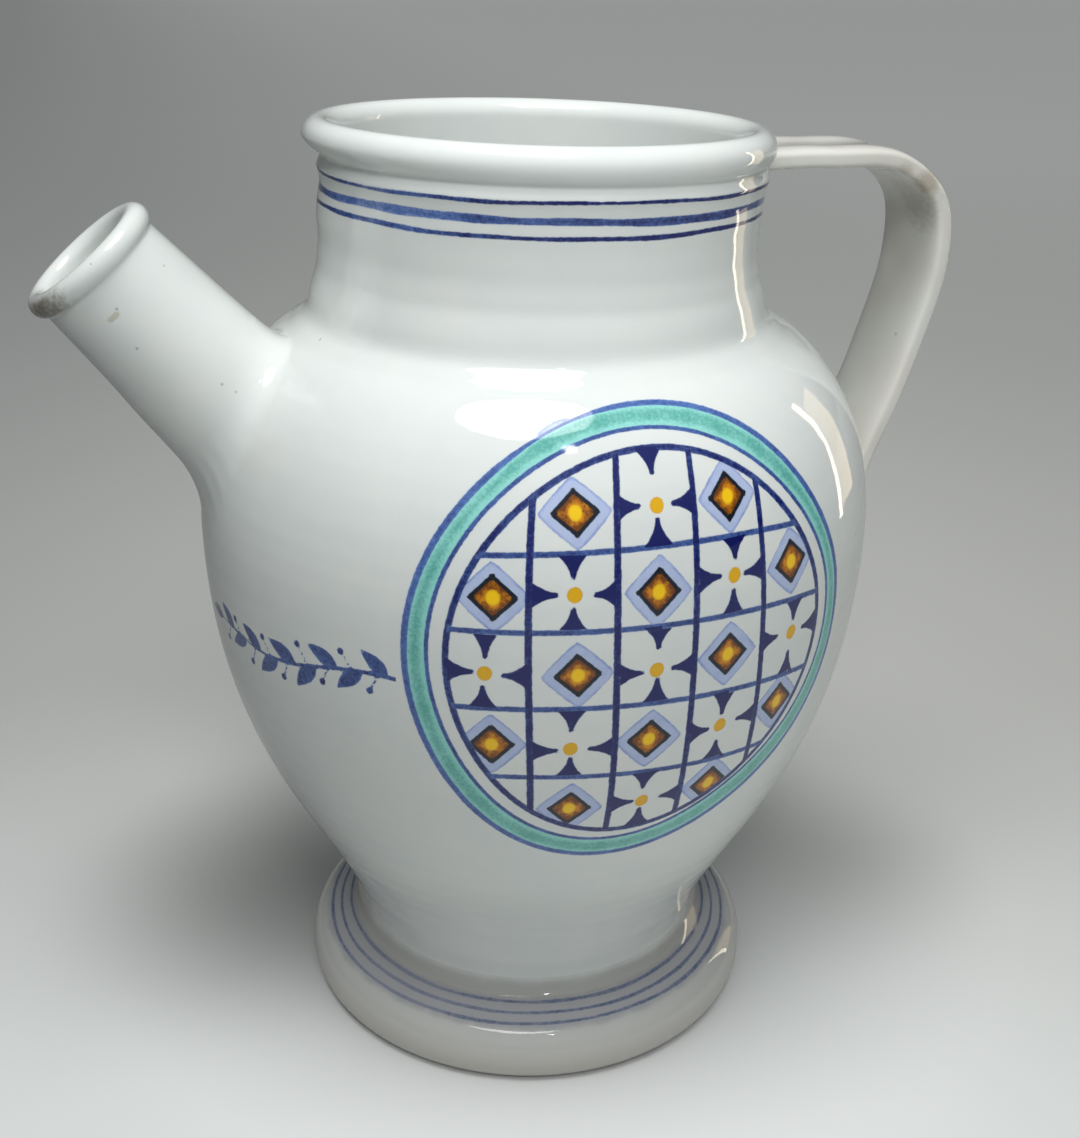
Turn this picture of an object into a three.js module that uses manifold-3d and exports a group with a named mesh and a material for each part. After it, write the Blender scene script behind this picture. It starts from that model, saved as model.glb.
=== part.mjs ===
// Wine jug of thrown, white-glazed earthenware: a flared foot, a high round belly, a wide neck
// with a rolled lip, a tubular pouring spout and a pulled strap handle opposite to it.
// Millimetres, +Z up. The origin is the centre of the flat underside. The spout points to -X.

import * as THREE from 'three';
import * as BufferGeometryUtils from 'three/addons/utils/BufferGeometryUtils.js';
import Module from 'manifold-3d';

// Clay
const wall = 6.0; // thickness of the thrown wall
const floorThickness = 9.0; // clay under the inside floor
const jointGap = 0.3; // left between two pieces that are luted together

// Foot
const footRadius = 58.4; // over the rolled edge
const footRollHeight = 6.2; // where the rolled edge is widest
const footBevel = 4.1; // how far the roll tucks in at the table
const footShelfRadius = 53.2; // where the roll ends and the slope to the waist starts
const footShelfHeight = 14.1;
const floorRadius = 26; // flat part of the inside floor

// Belly
const waistRadius = 44.5;
const waistHeight = 21;
const bellyRadius = 79.6;
const bellyHeight = 128.7; // where the belly is widest
const shoulderRadius = 60.8;
const shoulderHeight = 171.8; // where the slope is the least steep
const shoulderSlope = 22; // degrees below level, going outwards

// Neck and lip
const neckRadius = 49.5;
const neckHeight = 192.3; // where the neck is narrowest
const neckJointHeight = 181; // joint of belly and neck, above the root of the spout
const throatRadius = 50.4; // just under the bead below the lip
const throatDrop = 6.5; // from the lip joint down to the throat
const beadRadius = 51.3; // thin bead under the lip
const beadDrop = 2.6; // from the lip joint down to the bead
const lipJointRadius = 50.6;
const lipJointHeight = 211.9;
const lipCentreRadius = 48.55;
const lipHalfWidth = 4.0;
const lipHalfHeight = 4.2;
const mouthLean = 1.44; // degrees that the hand-thrown mouth is out of level
const mouthLeanTurn = 40.6; // the low side of the mouth, in degrees from +X towards +Y

// Spout
const spoutElevation = 50; // degrees above level
const spoutRootHeight = 161.1; // where the spout's axis leaves the belly
const spoutLength = 41.5; // along the axis, from the belly to the middle of the mouth bead
const spoutRootRadius = 17.2;
const spoutTipRadius = 14.7;
const spoutWall = 3.7;
const spoutBeadRadius = 16.3; // over the bead round the mouth
const spoutBeadHalfLength = 3.3;

// Collar of clay that joins the spout to the belly
const collarLead = 6; // how far it climbs the spout above the belly
const collarSpread = 6; // how far its foot spreads past the spout
const collarEdge = 0.5; // thickness of its two edges

// Strap handle
const strapWidth = 25.5;
const strapThickness = 5.6;
const strapGroove = 0.9; // depth of the hollow along the outer face
const strapGrooveShare = 0.5; // of the width, taken by that hollow
const strapDrop = 1.7; // from the lip joint down to the strap's middle
const strapStandoff = 20.2; // from the widest belly out to the strap's middle
const strapRootHeight = 112; // where the strap runs into the belly
const strapTurn = 2; // degrees off the line through the spout
const upperWadLeg = 6.5; // legs of the clay fillet under the strap's upper root
const lowerWadHeight = 30; // top of the clay wedge in the lower corner, above the lower root
const lowerWadDip = 4; // hollow pressed into the wedge's top
const wadInset = 1.5; // the wads stop short of the strap's sides

// Fineness of the faceted surfaces
const turnSegments = 56;
const tubeSegments = 32;
const curveSteps = 6;

const wasm = await Module();
wasm.setup();

const glaze = { roughness: 0.14, metalness: 0 };
const materials = {
  body: new THREE.MeshStandardMaterial({ ...glaze, color: 0xe3e6e4 }),
  spout: new THREE.MeshStandardMaterial({ ...glaze, color: 0xe0e4e2 }),
  handle: new THREE.MeshStandardMaterial({ ...glaze, color: 0xdee0dd }),
};

const degrees = THREE.MathUtils.degToRad;
const point = (radius, height) => new THREE.Vector2(radius, height);

// Outlines are lists of (radius, height), from the foot upwards

function bezier(a, b, c, d, steps = curveSteps) {
  return new THREE.CubicBezierCurve(a, b, c, d).getPoints(steps);
}

function ellipse(centre, width, height, from, to, steps = curveSteps) {
  const clockwise = to < from;
  const curve = new THREE.EllipseCurve(
    centre.x, centre.y, width, height, degrees(from), degrees(to), clockwise);
  return curve.getPoints(steps);
}

function joined(...lists) {
  const all = lists.flat();
  return all.filter((p, i) => i === 0 || p.distanceTo(all[i - 1]) > 1e-4);
}

// Moves an outline sideways by a distance, positive towards the axis
function offset(points, distance) {
  return points.map((p, i) => {
    const before = points[Math.max(i - 1, 0)];
    const after = points[Math.min(i + 1, points.length - 1)];
    const along = after.clone().sub(before).normalize();
    return point(p.x - distance * along.y, p.y + distance * along.x);
  });
}

function radiusAt(points, height) {
  const i = points.findIndex((p) => p.y >= height);
  const upper = points[Math.max(i, 1)];
  const lower = points[Math.max(i, 1) - 1];
  return THREE.MathUtils.mapLinear(height, lower.y, upper.y, lower.x, upper.x);
}

function between(points, low, high) {
  const inside = points.filter((p) => p.y > low + 0.2 && p.y < high - 0.2);
  return [point(radiusAt(points, low), low), ...inside, point(radiusAt(points, high), high)];
}

// The outer wall from the waist to the lip joint: a long S up to the widest belly, a round
// shoulder, a cove into the neck, and a thin bead under the lip
const slope = degrees(shoulderSlope);
const alongSlope = point(-Math.cos(slope), Math.sin(slope));
const shoulder = point(shoulderRadius, shoulderHeight);
const shoulderRise = shoulderHeight - bellyHeight;
const bellyRise = bellyHeight - waistHeight;
const coveLead = (shoulderRadius - neckRadius) * 0.97;

const lowerBelly = bezier(
  point(waistRadius, waistHeight),
  point(waistRadius + 0.2 * (bellyRadius - waistRadius), waistHeight + 0.275 * bellyRise),
  point(bellyRadius, bellyHeight - 0.555 * bellyRise),
  point(bellyRadius, bellyHeight), 9);
const upperBelly = bezier(
  point(bellyRadius, bellyHeight),
  point(bellyRadius, bellyHeight + 0.56 * shoulderRise),
  shoulder.clone().addScaledVector(alongSlope, -0.57 * (bellyRadius - shoulderRadius)),
  shoulder);
const cove = bezier(
  shoulder,
  shoulder.clone().addScaledVector(alongSlope, coveLead),
  point(neckRadius, neckHeight - 0.32 * (neckHeight - shoulderHeight)),
  point(neckRadius, neckHeight));
const underLip = [
  point((neckRadius + throatRadius) / 2, (neckHeight + lipJointHeight - throatDrop) / 2),
  point(throatRadius, lipJointHeight - throatDrop),
  point(beadRadius, lipJointHeight - beadDrop),
  point(lipJointRadius, lipJointHeight),
];
const outerWall = joined(lowerBelly, upperBelly, cove, underLip);
const smoothNeck = joined(lowerBelly, upperBelly, cove,
  [point(throatRadius, lipJointHeight)]);
const innerWall = offset(smoothNeck, wall);

const shelfRise = footShelfHeight - footRollHeight;
const footSlope = [
  point(footShelfRadius - 0.41 * (footShelfRadius - waistRadius),
    footShelfHeight + 0.21 * (waistHeight - footShelfHeight)),
  point(waistRadius, footShelfHeight + 0.49 * (waistHeight - footShelfHeight)),
];
const footOutside = joined(
  ellipse(point(footRadius - footBevel, footRollHeight), footBevel, footRollHeight, -90, 0, 4),
  bezier(
    point(footRadius, footRollHeight),
    point(footRadius, footRollHeight + 0.56 * shelfRise),
    point(footShelfRadius + 0.6 * (footRadius - footShelfRadius), footRollHeight + 0.86 * shelfRise),
    point(footShelfRadius, footShelfHeight), 5),
  bezier(point(footShelfRadius, footShelfHeight), ...footSlope,
    point(waistRadius, waistHeight), 5));
const innerWaist = radiusAt(innerWall, waistHeight);
const footInside = ellipse(
  point(floorRadius, waistHeight),
  innerWaist - floorRadius, waistHeight - floorThickness, 0, -90, 4);

const lipCentreHeight = lipJointHeight
  + lipHalfHeight * Math.sqrt(1 - ((lipJointRadius - lipCentreRadius) / lipHalfWidth) ** 2);
const lipStart = THREE.MathUtils.radToDeg(
  Math.atan2((lipJointHeight - lipCentreHeight) / lipHalfHeight,
    (lipJointRadius - lipCentreRadius) / lipHalfWidth));
const lipCentre = point(lipCentreRadius, lipCentreHeight);
const lipRoll = ellipse(lipCentre, lipHalfWidth, lipHalfHeight, lipStart, 180, 10);
const throat = point(radiusAt(innerWall, lipJointHeight - throatDrop), lipJointHeight);

// Solids of revolution about Z. The outline closes on itself or ends on the axis
function turned(outline, segments) {
  const area = THREE.ShapeUtils.area(outline);
  const ordered = area > 0 ? outline : [...outline].reverse();
  const closed = outline[0].x === 0 ? ordered : [...ordered, ordered[0]];
  return new THREE.LatheGeometry(closed, segments).rotateX(Math.PI / 2);
}

// The neck and lip lean: each level above the shoulder is tipped a little more than the last
function leaned(geometry) {
  const low = point(Math.cos(degrees(mouthLeanTurn)), Math.sin(degrees(mouthLeanTurn)));
  const rise = lipJointHeight - shoulderHeight;
  const at = geometry.attributes.position;
  for (let i = 0; i < at.count; i += 1) {
    const share = Math.max(at.getZ(i) - shoulderHeight, 0) / rise;
    const across = at.getX(i) * low.x + at.getY(i) * low.y;
    at.setZ(i, at.getZ(i) - Math.min(share, 1) * across * Math.tan(degrees(mouthLean)));
  }
  return geometry;
}

function solidOf(geometry) {
  const bare = geometry.clone();
  bare.deleteAttribute('normal');
  bare.deleteAttribute('uv');
  const merged = BufferGeometryUtils.mergeVertices(bare);
  const index = merged.index.array;
  const corners = [];
  for (let i = 0; i < index.length; i += 3) {
    const [a, b, c] = index.slice(i, i + 3);
    if (a !== b && b !== c && c !== a) corners.push(a, b, c);
  }
  return new wasm.Manifold(new wasm.Mesh({
    numProp: 3,
    vertProperties: new Float32Array(merged.attributes.position.array),
    triVerts: new Uint32Array(corners),
  }));
}

function geometryOf(solid) {
  const mesh = solid.getMesh();
  const geometry = new THREE.BufferGeometry();
  geometry.setAttribute('position', new THREE.BufferAttribute(mesh.vertProperties, 3));
  geometry.setIndex(new THREE.BufferAttribute(mesh.triVerts, 1));
  geometry.computeVertexNormals();
  return geometry;
}

function named(name, geometry, material) {
  const mesh = new THREE.Mesh(geometry, material);
  mesh.name = name;
  return mesh;
}

// A solid with the jug's outer shape, a little larger, seen from inside a turned group
function jugSeenFrom(group, growth) {
  group.updateMatrixWorld(true);
  const outside = joined([point(0, waistHeight)], offset(outerWall, -growth).slice(0, -1),
    ellipse(lipCentre, lipHalfWidth + growth, lipHalfHeight + growth, lipStart, 90));
  const geometry = leaned(turned([...outside, point(0, outside.at(-1).y)], turnSegments));
  return solidOf(geometry.applyMatrix4(group.matrixWorld.clone().invert()));
}

const jug = new THREE.Group();

// Foot and lip

const footOutline = joined([point(0, 0)], footOutside, footInside, [point(0, floorThickness)]);
jug.add(named('foot', turned(footOutline, turnSegments), materials.body));

const lipOutline = joined(lipRoll, [throat]);
jug.add(named('lip', leaned(turned(lipOutline, turnSegments)), materials.body));

// Spout. Its group's Z runs along the bore to the mouth, from the root on the belly

const spout = new THREE.Group();
spout.position.set(-radiusAt(outerWall, spoutRootHeight), 0, spoutRootHeight);
spout.rotation.set(0, degrees(spoutElevation - 90), 0);
jug.add(spout);

const tubeTop = spoutLength - spoutBeadHalfLength;
const rootDepth = spoutRootRadius / Math.tan(degrees(90 - spoutElevation)) + wall;
const tubeTaper = (spoutRootRadius - spoutTipRadius) / tubeTop;
const tubeRadius = (along) => spoutTipRadius + tubeTaper * (tubeTop - along);
const boreRadius = (along) => tubeRadius(along) - spoutWall;

const tubeOutline = [
  point(boreRadius(-rootDepth), -rootDepth),
  point(tubeRadius(-rootDepth), -rootDepth),
  point(tubeRadius(tubeTop - jointGap), tubeTop - jointGap),
  point(boreRadius(tubeTop - jointGap), tubeTop - jointGap),
];
const beadHalfWidth = (spoutBeadRadius - boreRadius(tubeTop)) / 2;
const beadCentre = point(boreRadius(tubeTop) + beadHalfWidth, spoutLength);
const beadStart = -THREE.MathUtils.radToDeg(
  Math.acos((spoutTipRadius - beadCentre.x) / beadHalfWidth));
const beadOutline = joined(
  [point(boreRadius(tubeTop), tubeTop), point(spoutTipRadius, tubeTop)],
  ellipse(beadCentre, beadHalfWidth, spoutBeadHalfLength, beadStart, 180, 8));

// How far along the spout a line beside its axis comes out of the jug's outer wall
function leavesJug(radius, turn) {
  let outside = spoutLength / 2;
  let inside = -bellyRadius / 2;
  for (let i = 0; i < 24; i += 1) {
    const middle = (outside + inside) / 2;
    const at = spout.localToWorld(
      new THREE.Vector3(radius * Math.cos(turn), radius * Math.sin(turn), middle));
    if (Math.hypot(at.x, at.y) > radiusAt(outerWall, at.z)) outside = middle;
    else inside = middle;
  }
  return outside;
}

// One section through the collar, in (distance from the spout's axis, distance along it). Its
// face is a curve that leaves the spout along the spout's side and meets the belly in its slope
function collarSection(turn) {
  const foot = spoutRootRadius + collarSpread;
  const footHeight = leavesJug(foot, turn);
  const fall = leavesJug(foot + 0.5, turn) - leavesJug(foot - 0.5, turn);
  const cornerHeight = footHeight - fall * collarSpread;
  const topHeight = cornerHeight + collarLead;
  const proud = jointGap + collarEdge;
  const face = new THREE.QuadraticBezierCurve(
    point(tubeRadius(topHeight) + proud, topHeight),
    point(tubeRadius(cornerHeight) + proud, cornerHeight + proud),
    point(foot + proud, footHeight + proud)).getPoints(5);
  return [
    ...face,
    point(foot + proud, footHeight - wall),
    point(tubeRadius(cornerHeight) + jointGap, cornerHeight - wall),
    point(tubeRadius(topHeight) + jointGap, topHeight),
  ];
}

// A ring whose section changes with the angle
function ring(sectionAt, segments) {
  const places = [];
  const index = [];
  const count = sectionAt(0).length;
  for (let i = 0; i < segments; i += 1) {
    const turn = (i / segments) * 2 * Math.PI;
    const next = (i + 1) % segments;
    sectionAt(turn).forEach((p, k) => {
      const after = (k + 1) % count;
      places.push(p.x * Math.cos(turn), p.x * Math.sin(turn), p.y);
      index.push(i * count + k, i * count + after, next * count + k);
      index.push(next * count + k, i * count + after, next * count + after);
    });
  }
  const geometry = new THREE.BufferGeometry();
  geometry.setAttribute('position', new THREE.Float32BufferAttribute(places, 3));
  geometry.setIndex(index);
  return geometry;
}

const jugForSpout = jugSeenFrom(spout, jointGap);
const tube = solidOf(turned(tubeOutline, tubeSegments)).subtract(jugForSpout);
const collar = solidOf(ring(collarSection, tubeSegments)).subtract(jugForSpout);
spout.add(named('spout_tube', geometryOf(tube), materials.spout));
spout.add(named('spout_mouth_bead', turned(beadOutline, tubeSegments), materials.spout));
spout.add(named('spout_collar', geometryOf(collar), materials.spout));

// Belly and neck, with the spout's bore cut through the wall

const boreDepth = rootDepth + 3 * wall;
const boreCutter = solidOf(turned([
  point(0, -boreDepth),
  point(boreRadius(-boreDepth), -boreDepth),
  point(boreRadius(collarLead), collarLead),
  point(0, collarLead),
], tubeSegments).applyMatrix4(spout.matrixWorld));
const bellyOutline = joined(
  between(outerWall, waistHeight, neckJointHeight),
  between(innerWall, waistHeight, neckJointHeight).reverse());
const belly = solidOf(leaned(turned(bellyOutline, turnSegments))).subtract(boreCutter);
jug.add(named('belly', geometryOf(belly), materials.body));

const neckOutline = joined(
  between(outerWall, neckJointHeight, lipJointHeight),
  [throat],
  between(innerWall, neckJointHeight, lipJointHeight - throatDrop).reverse());
const neck = solidOf(leaned(turned(neckOutline, turnSegments))).subtract(boreCutter);
jug.add(named('neck', geometryOf(neck), materials.body));

// Strap handle, in the upright plane of its group. Each bend of the path is a share of the way
// out from the wall beside it to the strap's reach, and of the way down to its lower root

const handle = new THREE.Group();
handle.rotation.set(0, 0, degrees(strapTurn));
jug.add(handle);

const strapTop = lipJointHeight - strapDrop;
const strapReach = bellyRadius + strapStandoff;
const strapFall = strapTop - strapRootHeight;
const strapBends = [
  [0.34, 0], [0.727, 0.021], [0.952, 0.115], [1, 0.293], [0.739, 0.532], [0.309, 0.74],
];
function besideWall([out, down]) {
  const height = strapTop - down * strapFall;
  const side = radiusAt(outerWall, height);
  return [side + out * (strapReach - side), height];
}
const strapPoints = [
  [neckRadius - wall, strapTop],
  ...strapBends.map(besideWall),
  [radiusAt(outerWall, strapRootHeight) - strapThickness / 2, strapRootHeight],
  [
    radiusAt(outerWall, strapRootHeight) - 3.5 * strapThickness,
    strapRootHeight - 1.5 * strapThickness,
  ],
];
const strapPath = new THREE.CatmullRomCurve3(
  strapPoints.map(([out, up]) => new THREE.Vector3(out, 0, up)), false, 'centripetal');
strapPath.arcLengthDivisions = 400;

// The strap's section, x across its width and y through its thickness: round edges, a flat
// inner face and a hollow along the outer face
function strapSection(growth) {
  const round = strapThickness / 2;
  const flat = strapWidth / 2 - round;
  const hollow = strapWidth * strapGrooveShare / 2;
  const shape = new THREE.Shape();
  shape.moveTo(-flat, -round - growth);
  shape.lineTo(flat, -round - growth);
  shape.absarc(flat, 0, round + growth, -Math.PI / 2, Math.PI / 2, false);
  shape.quadraticCurveTo(hollow * 0.6, round + growth, 0, round - strapGroove + growth);
  shape.quadraticCurveTo(-hollow * 0.6, round + growth, -flat, round + growth);
  shape.absarc(-flat, 0, round + growth, Math.PI / 2, 1.5 * Math.PI, false);
  return shape;
}

function sweptStrap(growth) {
  return new THREE.ExtrudeGeometry(strapSection(growth), {
    steps: 36, curveSegments: 3, bevelEnabled: false, extrudePath: strapPath,
  });
}

const jugForHandle = jugSeenFrom(handle, jointGap);
const strap = solidOf(sweptStrap(0)).subtract(jugForHandle);
handle.add(named('handle_strap', geometryOf(strap), materials.handle));

// Clay fillets pressed into the corners between the strap and the jug

function crossBar(shape) {
  const width = strapWidth - 2 * wadInset;
  const bar = new THREE.ExtrudeGeometry(shape, {
    depth: width, curveSegments: 6, bevelEnabled: false,
  });
  return solidOf(bar.rotateX(Math.PI / 2).translate(0, width / 2, 0));
}

const strapSpace = solidOf(sweptStrap(jointGap));
const neckSide = radiusAt(outerWall, strapTop - strapThickness);
const strapUnderside = strapTop - strapThickness / 2;
const upperCorner = new THREE.Shape();
upperCorner.moveTo(neckSide - wall, strapUnderside);
upperCorner.lineTo(neckSide - wall, strapUnderside - upperWadLeg);
upperCorner.lineTo(neckSide, strapUnderside - upperWadLeg);
upperCorner.quadraticCurveTo(
  neckSide + 1, strapUnderside - 1, neckSide + upperWadLeg, strapUnderside);
const upperWad = crossBar(upperCorner).subtract(strapSpace).subtract(jugForHandle);
handle.add(named('handle_upper_wad', geometryOf(upperWad), materials.handle));

const strapLine = strapPath.getPoints(80).reverse().map((p) => point(p.x, p.z));
const wedgeTop = strapRootHeight + lowerWadHeight;
const wedgeBottom = strapRootHeight + lowerWadHeight / 3;
const topInside = radiusAt(outerWall, wedgeTop) - wall / 2;
const topOutside = radiusAt(strapLine, wedgeTop);
const lowerCorner = new THREE.Shape();
lowerCorner.moveTo(topInside, wedgeTop);
lowerCorner.lineTo(radiusAt(outerWall, wedgeBottom) - wall / 2, wedgeBottom);
lowerCorner.lineTo(radiusAt(strapLine, wedgeBottom), wedgeBottom);
lowerCorner.lineTo(topOutside, wedgeTop);
lowerCorner.quadraticCurveTo(
  (topInside + topOutside) / 2, wedgeTop - lowerWadDip, topInside, wedgeTop);
const lowerWad = crossBar(lowerCorner).subtract(strapSpace).subtract(jugForHandle);
handle.add(named('handle_lower_wad', geometryOf(lowerWad), materials.handle));

export default jug;
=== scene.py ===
"""A wine jug of white-glazed earthenware, built round its fixed frame as a small Blender add-on."""

import math
from types import SimpleNamespace

import bpy
import numpy as np
from mathutils import Matrix, Vector


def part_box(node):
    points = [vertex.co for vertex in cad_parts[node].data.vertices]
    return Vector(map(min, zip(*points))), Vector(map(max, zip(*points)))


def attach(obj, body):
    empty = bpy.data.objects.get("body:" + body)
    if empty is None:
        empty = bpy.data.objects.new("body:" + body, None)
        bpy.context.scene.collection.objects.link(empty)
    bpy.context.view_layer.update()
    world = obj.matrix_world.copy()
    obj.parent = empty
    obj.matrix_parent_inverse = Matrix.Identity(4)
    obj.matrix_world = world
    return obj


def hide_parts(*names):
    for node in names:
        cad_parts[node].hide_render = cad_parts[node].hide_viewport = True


bl_info = {
    "name": "Wine jug",
    "version": (1, 0, 0),
    "blender": (4, 5, 0),
    "location": "3D View > Sidebar > Jug",
    "description": "Makes a glazed wine jug with a spout, a strap handle and brushed decoration",
    "category": "Add Mesh",
}

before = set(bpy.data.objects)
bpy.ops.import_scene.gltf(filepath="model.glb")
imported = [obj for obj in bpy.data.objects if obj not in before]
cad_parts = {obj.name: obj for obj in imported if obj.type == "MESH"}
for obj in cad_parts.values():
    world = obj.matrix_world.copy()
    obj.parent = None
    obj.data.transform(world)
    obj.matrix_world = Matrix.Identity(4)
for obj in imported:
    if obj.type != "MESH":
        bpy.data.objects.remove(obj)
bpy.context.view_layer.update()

MM = 0.001
FULL_TURN = 2 * math.pi
BODY = "root"

# Outlines of the wall and the spout are worked out this finely, in millimetres
OUTLINE_STEP = 0.05
# Points on each stretch of a smooth curve through points
STRETCH = 60
# Spread of the bell curve that rounds the corners of an outline, in millimetres
WALL_ROUNDING = 0.45
NECK_ROUNDING = 4.0
SPOUT_ROUNDING = 0.35
# The groove under the lip is this much wider than the neck's narrowest place
GROOVE = 0.75

# Turns about the jug's axis, in degrees from +X towards +Y
COARSE_FROM = -50
COARSE_TO = 156
COARSE_TURN = 1.7
FINE_TURN = 0.5
# Columns of vertices on the inside of the wall
INNER_COLUMNS = 110
# Turns about the spout, in radians, at which its roots on the wall are first looked for
ROUND_SPOUT = np.linspace(0, FULL_TURN, 721)[:-1]

# Depth that says that a vertex lies in no stroke
NOWHERE = -50.0


def half_width(node):
    """Half of a node's width across Y, in metres."""
    low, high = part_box(node)
    return (high.y - low.y) / 2


def length(name, description, metres):
    """A property that holds a length, in metres."""
    return bpy.props.FloatProperty(
        name=name, description=description, default=metres, unit="LENGTH", precision=4)


def angle(name, description, degrees):
    """A property that holds an angle, in radians."""
    return bpy.props.FloatProperty(
        name=name, description=description, default=math.radians(degrees), subtype="ANGLE")


def colour(name, description, red, green, blue):
    """A property that holds a colour, in linear red, green and blue."""
    return bpy.props.FloatVectorProperty(
        name=name, description=description, default=(red, green, blue), subtype="COLOR",
        size=3, min=0, max=1)


def share(name, description, value):
    """A property that holds a share from 0 to 1."""
    return bpy.props.FloatProperty(
        name=name, description=description, default=value, min=0, max=1, subtype="FACTOR")


def watts(name, description, value):
    """A property that holds the power of a lamp."""
    return bpy.props.FloatProperty(name=name, description=description, default=value, min=0)


class JugBodySizes(bpy.types.PropertyGroup):
    """Sizes of the foot, belly, neck and lip."""

    foot_radius: length("Foot", "Radius over the rolled edge", half_width("foot"))
    waist_radius: length("Waist", "Radius where the foot meets the belly", 44.5 * MM)
    waist_height: length("Waist height", "Top of the foot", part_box("foot")[1].z)
    belly_radius: length("Belly", "Radius where the belly is widest", half_width("belly"))
    belly_height: length("Belly height", "Where the belly is widest", 128.7 * MM)
    shoulder_radius: length("Shoulder", "Radius near the top of the shoulder", 58.5 * MM)
    shoulder_height: length("Shoulder height", "Height near its top", 174.3 * MM)
    neck_radius: length("Neck", "Radius where the neck is narrowest", 49.5 * MM)
    neck_height: length("Neck height", "Where the neck is narrowest", 192.3 * MM)
    neck_joint: length("Neck joint", "Height where the neck sits on the belly", 181 * MM)
    lip_joint: length("Lip joint", "Height where the lip sits on the neck", 211.9 * MM)
    lip_radius: length("Lip", "Radius over the lip", half_width("lip"))
    wall: length("Wall", "Thickness of the thrown wall", 6 * MM)
    floor: length("Floor", "Thickness of the floor", 9 * MM)
    lean: angle("Lean", "How far the mouth is out of level", 1.44)
    lean_turn: angle("Lean turn", "Where the mouth is lowest, from +X towards +Y", 40.6)


class JugSpoutSizes(bpy.types.PropertyGroup):
    """Sizes of the spout."""

    elevation: angle("Elevation", "Angle above level", 50)
    root_height: length("Root height", "Where the axis leaves the belly", 161.1 * MM)
    reach: length("Length", "From the belly to the middle of the mouth bead", 42.1 * MM)
    root_radius: length("Root", "Radius at the belly", 17.2 * MM)
    tip_radius: length("Tip", "Radius under the bead", 14.7 * MM)
    bead_radius: length("Bead", "Radius over the bead", half_width("spout_mouth_bead"))
    bead_half: length("Bead half length", "Half of the bead's length", 2.7 * MM)
    wall: length("Wall", "Thickness of the tube", 3.7 * MM)


class JugHandleSizes(bpy.types.PropertyGroup):
    """Sizes of the strap handle."""

    width: length("Width", "Across the strap", 25.5 * MM)
    thickness: length("Thickness", "Through the strap", 5.6 * MM)
    groove: length("Groove", "Depth of the hollow along the outer face", 0.9 * MM)
    drop: length("Drop", "From the lip joint down to the strap's middle", 1.7 * MM)
    standoff: length("Standoff", "From the widest belly to the strap's middle", 20.2 * MM)
    root_height: length("Root height", "Where the strap runs into the belly", 112 * MM)
    turn: angle("Turn", "Off the line through the spout", 2)


class JugStageSizes(bpy.types.PropertyGroup):
    """Camera, lamps and floor."""

    focal: bpy.props.FloatProperty(
        name="Focal length", description="Of the camera, in millimetres", default=47.49,
        unit="CAMERA")
    floor_near: colour("Floor near", "Colour of the floor in front", 0.90, 0.91, 0.885)
    floor_left: colour("Floor left", "Colour of the floor on the spout's side", 0.50, 0.50, 0.485)
    floor_right: colour("Floor right", "Colour of the floor on the handle's side", 0.65, 0.64, 0.61)
    far_left: colour("Far left", "Colour of the floor far behind the spout", 0.40, 0.395, 0.38)
    far_right: colour("Far right", "Colour of the floor far behind the handle", 0.92, 0.90, 0.87)
    bounce_left: share("Bounce left", "Light that the floor gives back on the spout's side", 0.07)
    bounce_right: share("Bounce right", "Light that the floor gives back elsewhere", 0.80)
    room_low: share("Room low", "Brightness of the room near the horizon", 0.03)
    room_high: share("Room high", "Brightness of the room overhead", 0.265)
    room_front: share("Room front", "Brightness added on the camera's side", 0.34)
    lamp_strength: watts("Overhead lamp", "Power of the soft lamp overhead", 4.3)
    fill_strength: watts("Fill", "Power of the soft spot on the camera's side", 6.5)
    strip_strength: watts("Strip", "Power of the warm strip beside the handle", 0.22)
    panel_strength: watts("Panel", "Power of the warm panel beside it", 0.19)
    glint_strength: watts("Glint", "Power of the small lamp that shows as glints", 0.22)


def millimetres(group):
    """The values of a property group, with its lengths in millimetres."""
    values = {}
    for key in group.__annotations__:
        value = getattr(group, key)
        values[key] = value / MM if group.bl_rna.properties[key].unit == "LENGTH" else value
    return SimpleNamespace(**values)


def bezier(*corners, count=240):
    """Cubic curve through the first and last of four points, by the Bernstein blend of them."""
    t = np.linspace(0, 1, count)[:, None]
    a, b, c, d = (np.asarray(corner, float) for corner in corners)
    return (1 - t) ** 3 * a + 3 * (1 - t) ** 2 * t * b + 3 * (1 - t) * t ** 2 * c + t ** 3 * d


def arc(centre, width, height, start, end, count=160):
    """Part of an ellipse: centre plus width cos a and height sin a, from start to end degrees."""
    a = np.radians(np.linspace(start, end, count))
    return np.stack([centre[0] + width * np.cos(a), centre[1] + height * np.sin(a)], axis=1)


def through(points):
    """A smooth curve through points: the centripetal Catmull-Rom blend, each piece a cubic whose
    end slopes come from the chords on both sides, weighted by the square roots of their lengths."""
    p = np.asarray(points, float)
    p = np.concatenate([[2 * p[0] - p[1]], p, [2 * p[-1] - p[-2]]])
    gap = np.sqrt(np.linalg.norm(np.diff(p, axis=0), axis=1))[:, None]
    step = np.diff(p, axis=0)
    a, b, c = gap[:-2], gap[1:-1], gap[2:]
    start = (step[:-2] / a - (step[:-2] + step[1:-1]) / (a + b) + step[1:-1] / b) * b
    end = (step[1:-1] / b - (step[1:-1] + step[2:]) / (b + c) + step[2:] / c) * b
    t = np.linspace(0, 1, STRETCH, endpoint=False)[None, :, None]
    low, high = p[1:-2][:, None], p[2:-1][:, None]
    m, n = start[:, None], end[:, None]
    curve = ((2 * t ** 3 - 3 * t ** 2 + 1) * low + (t ** 3 - 2 * t ** 2 + t) * m
             + (3 * t ** 2 - 2 * t ** 3) * high + (t ** 3 - t ** 2) * n)
    return np.concatenate([curve.reshape(-1, p.shape[1]), p[-2:-1]])


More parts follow.
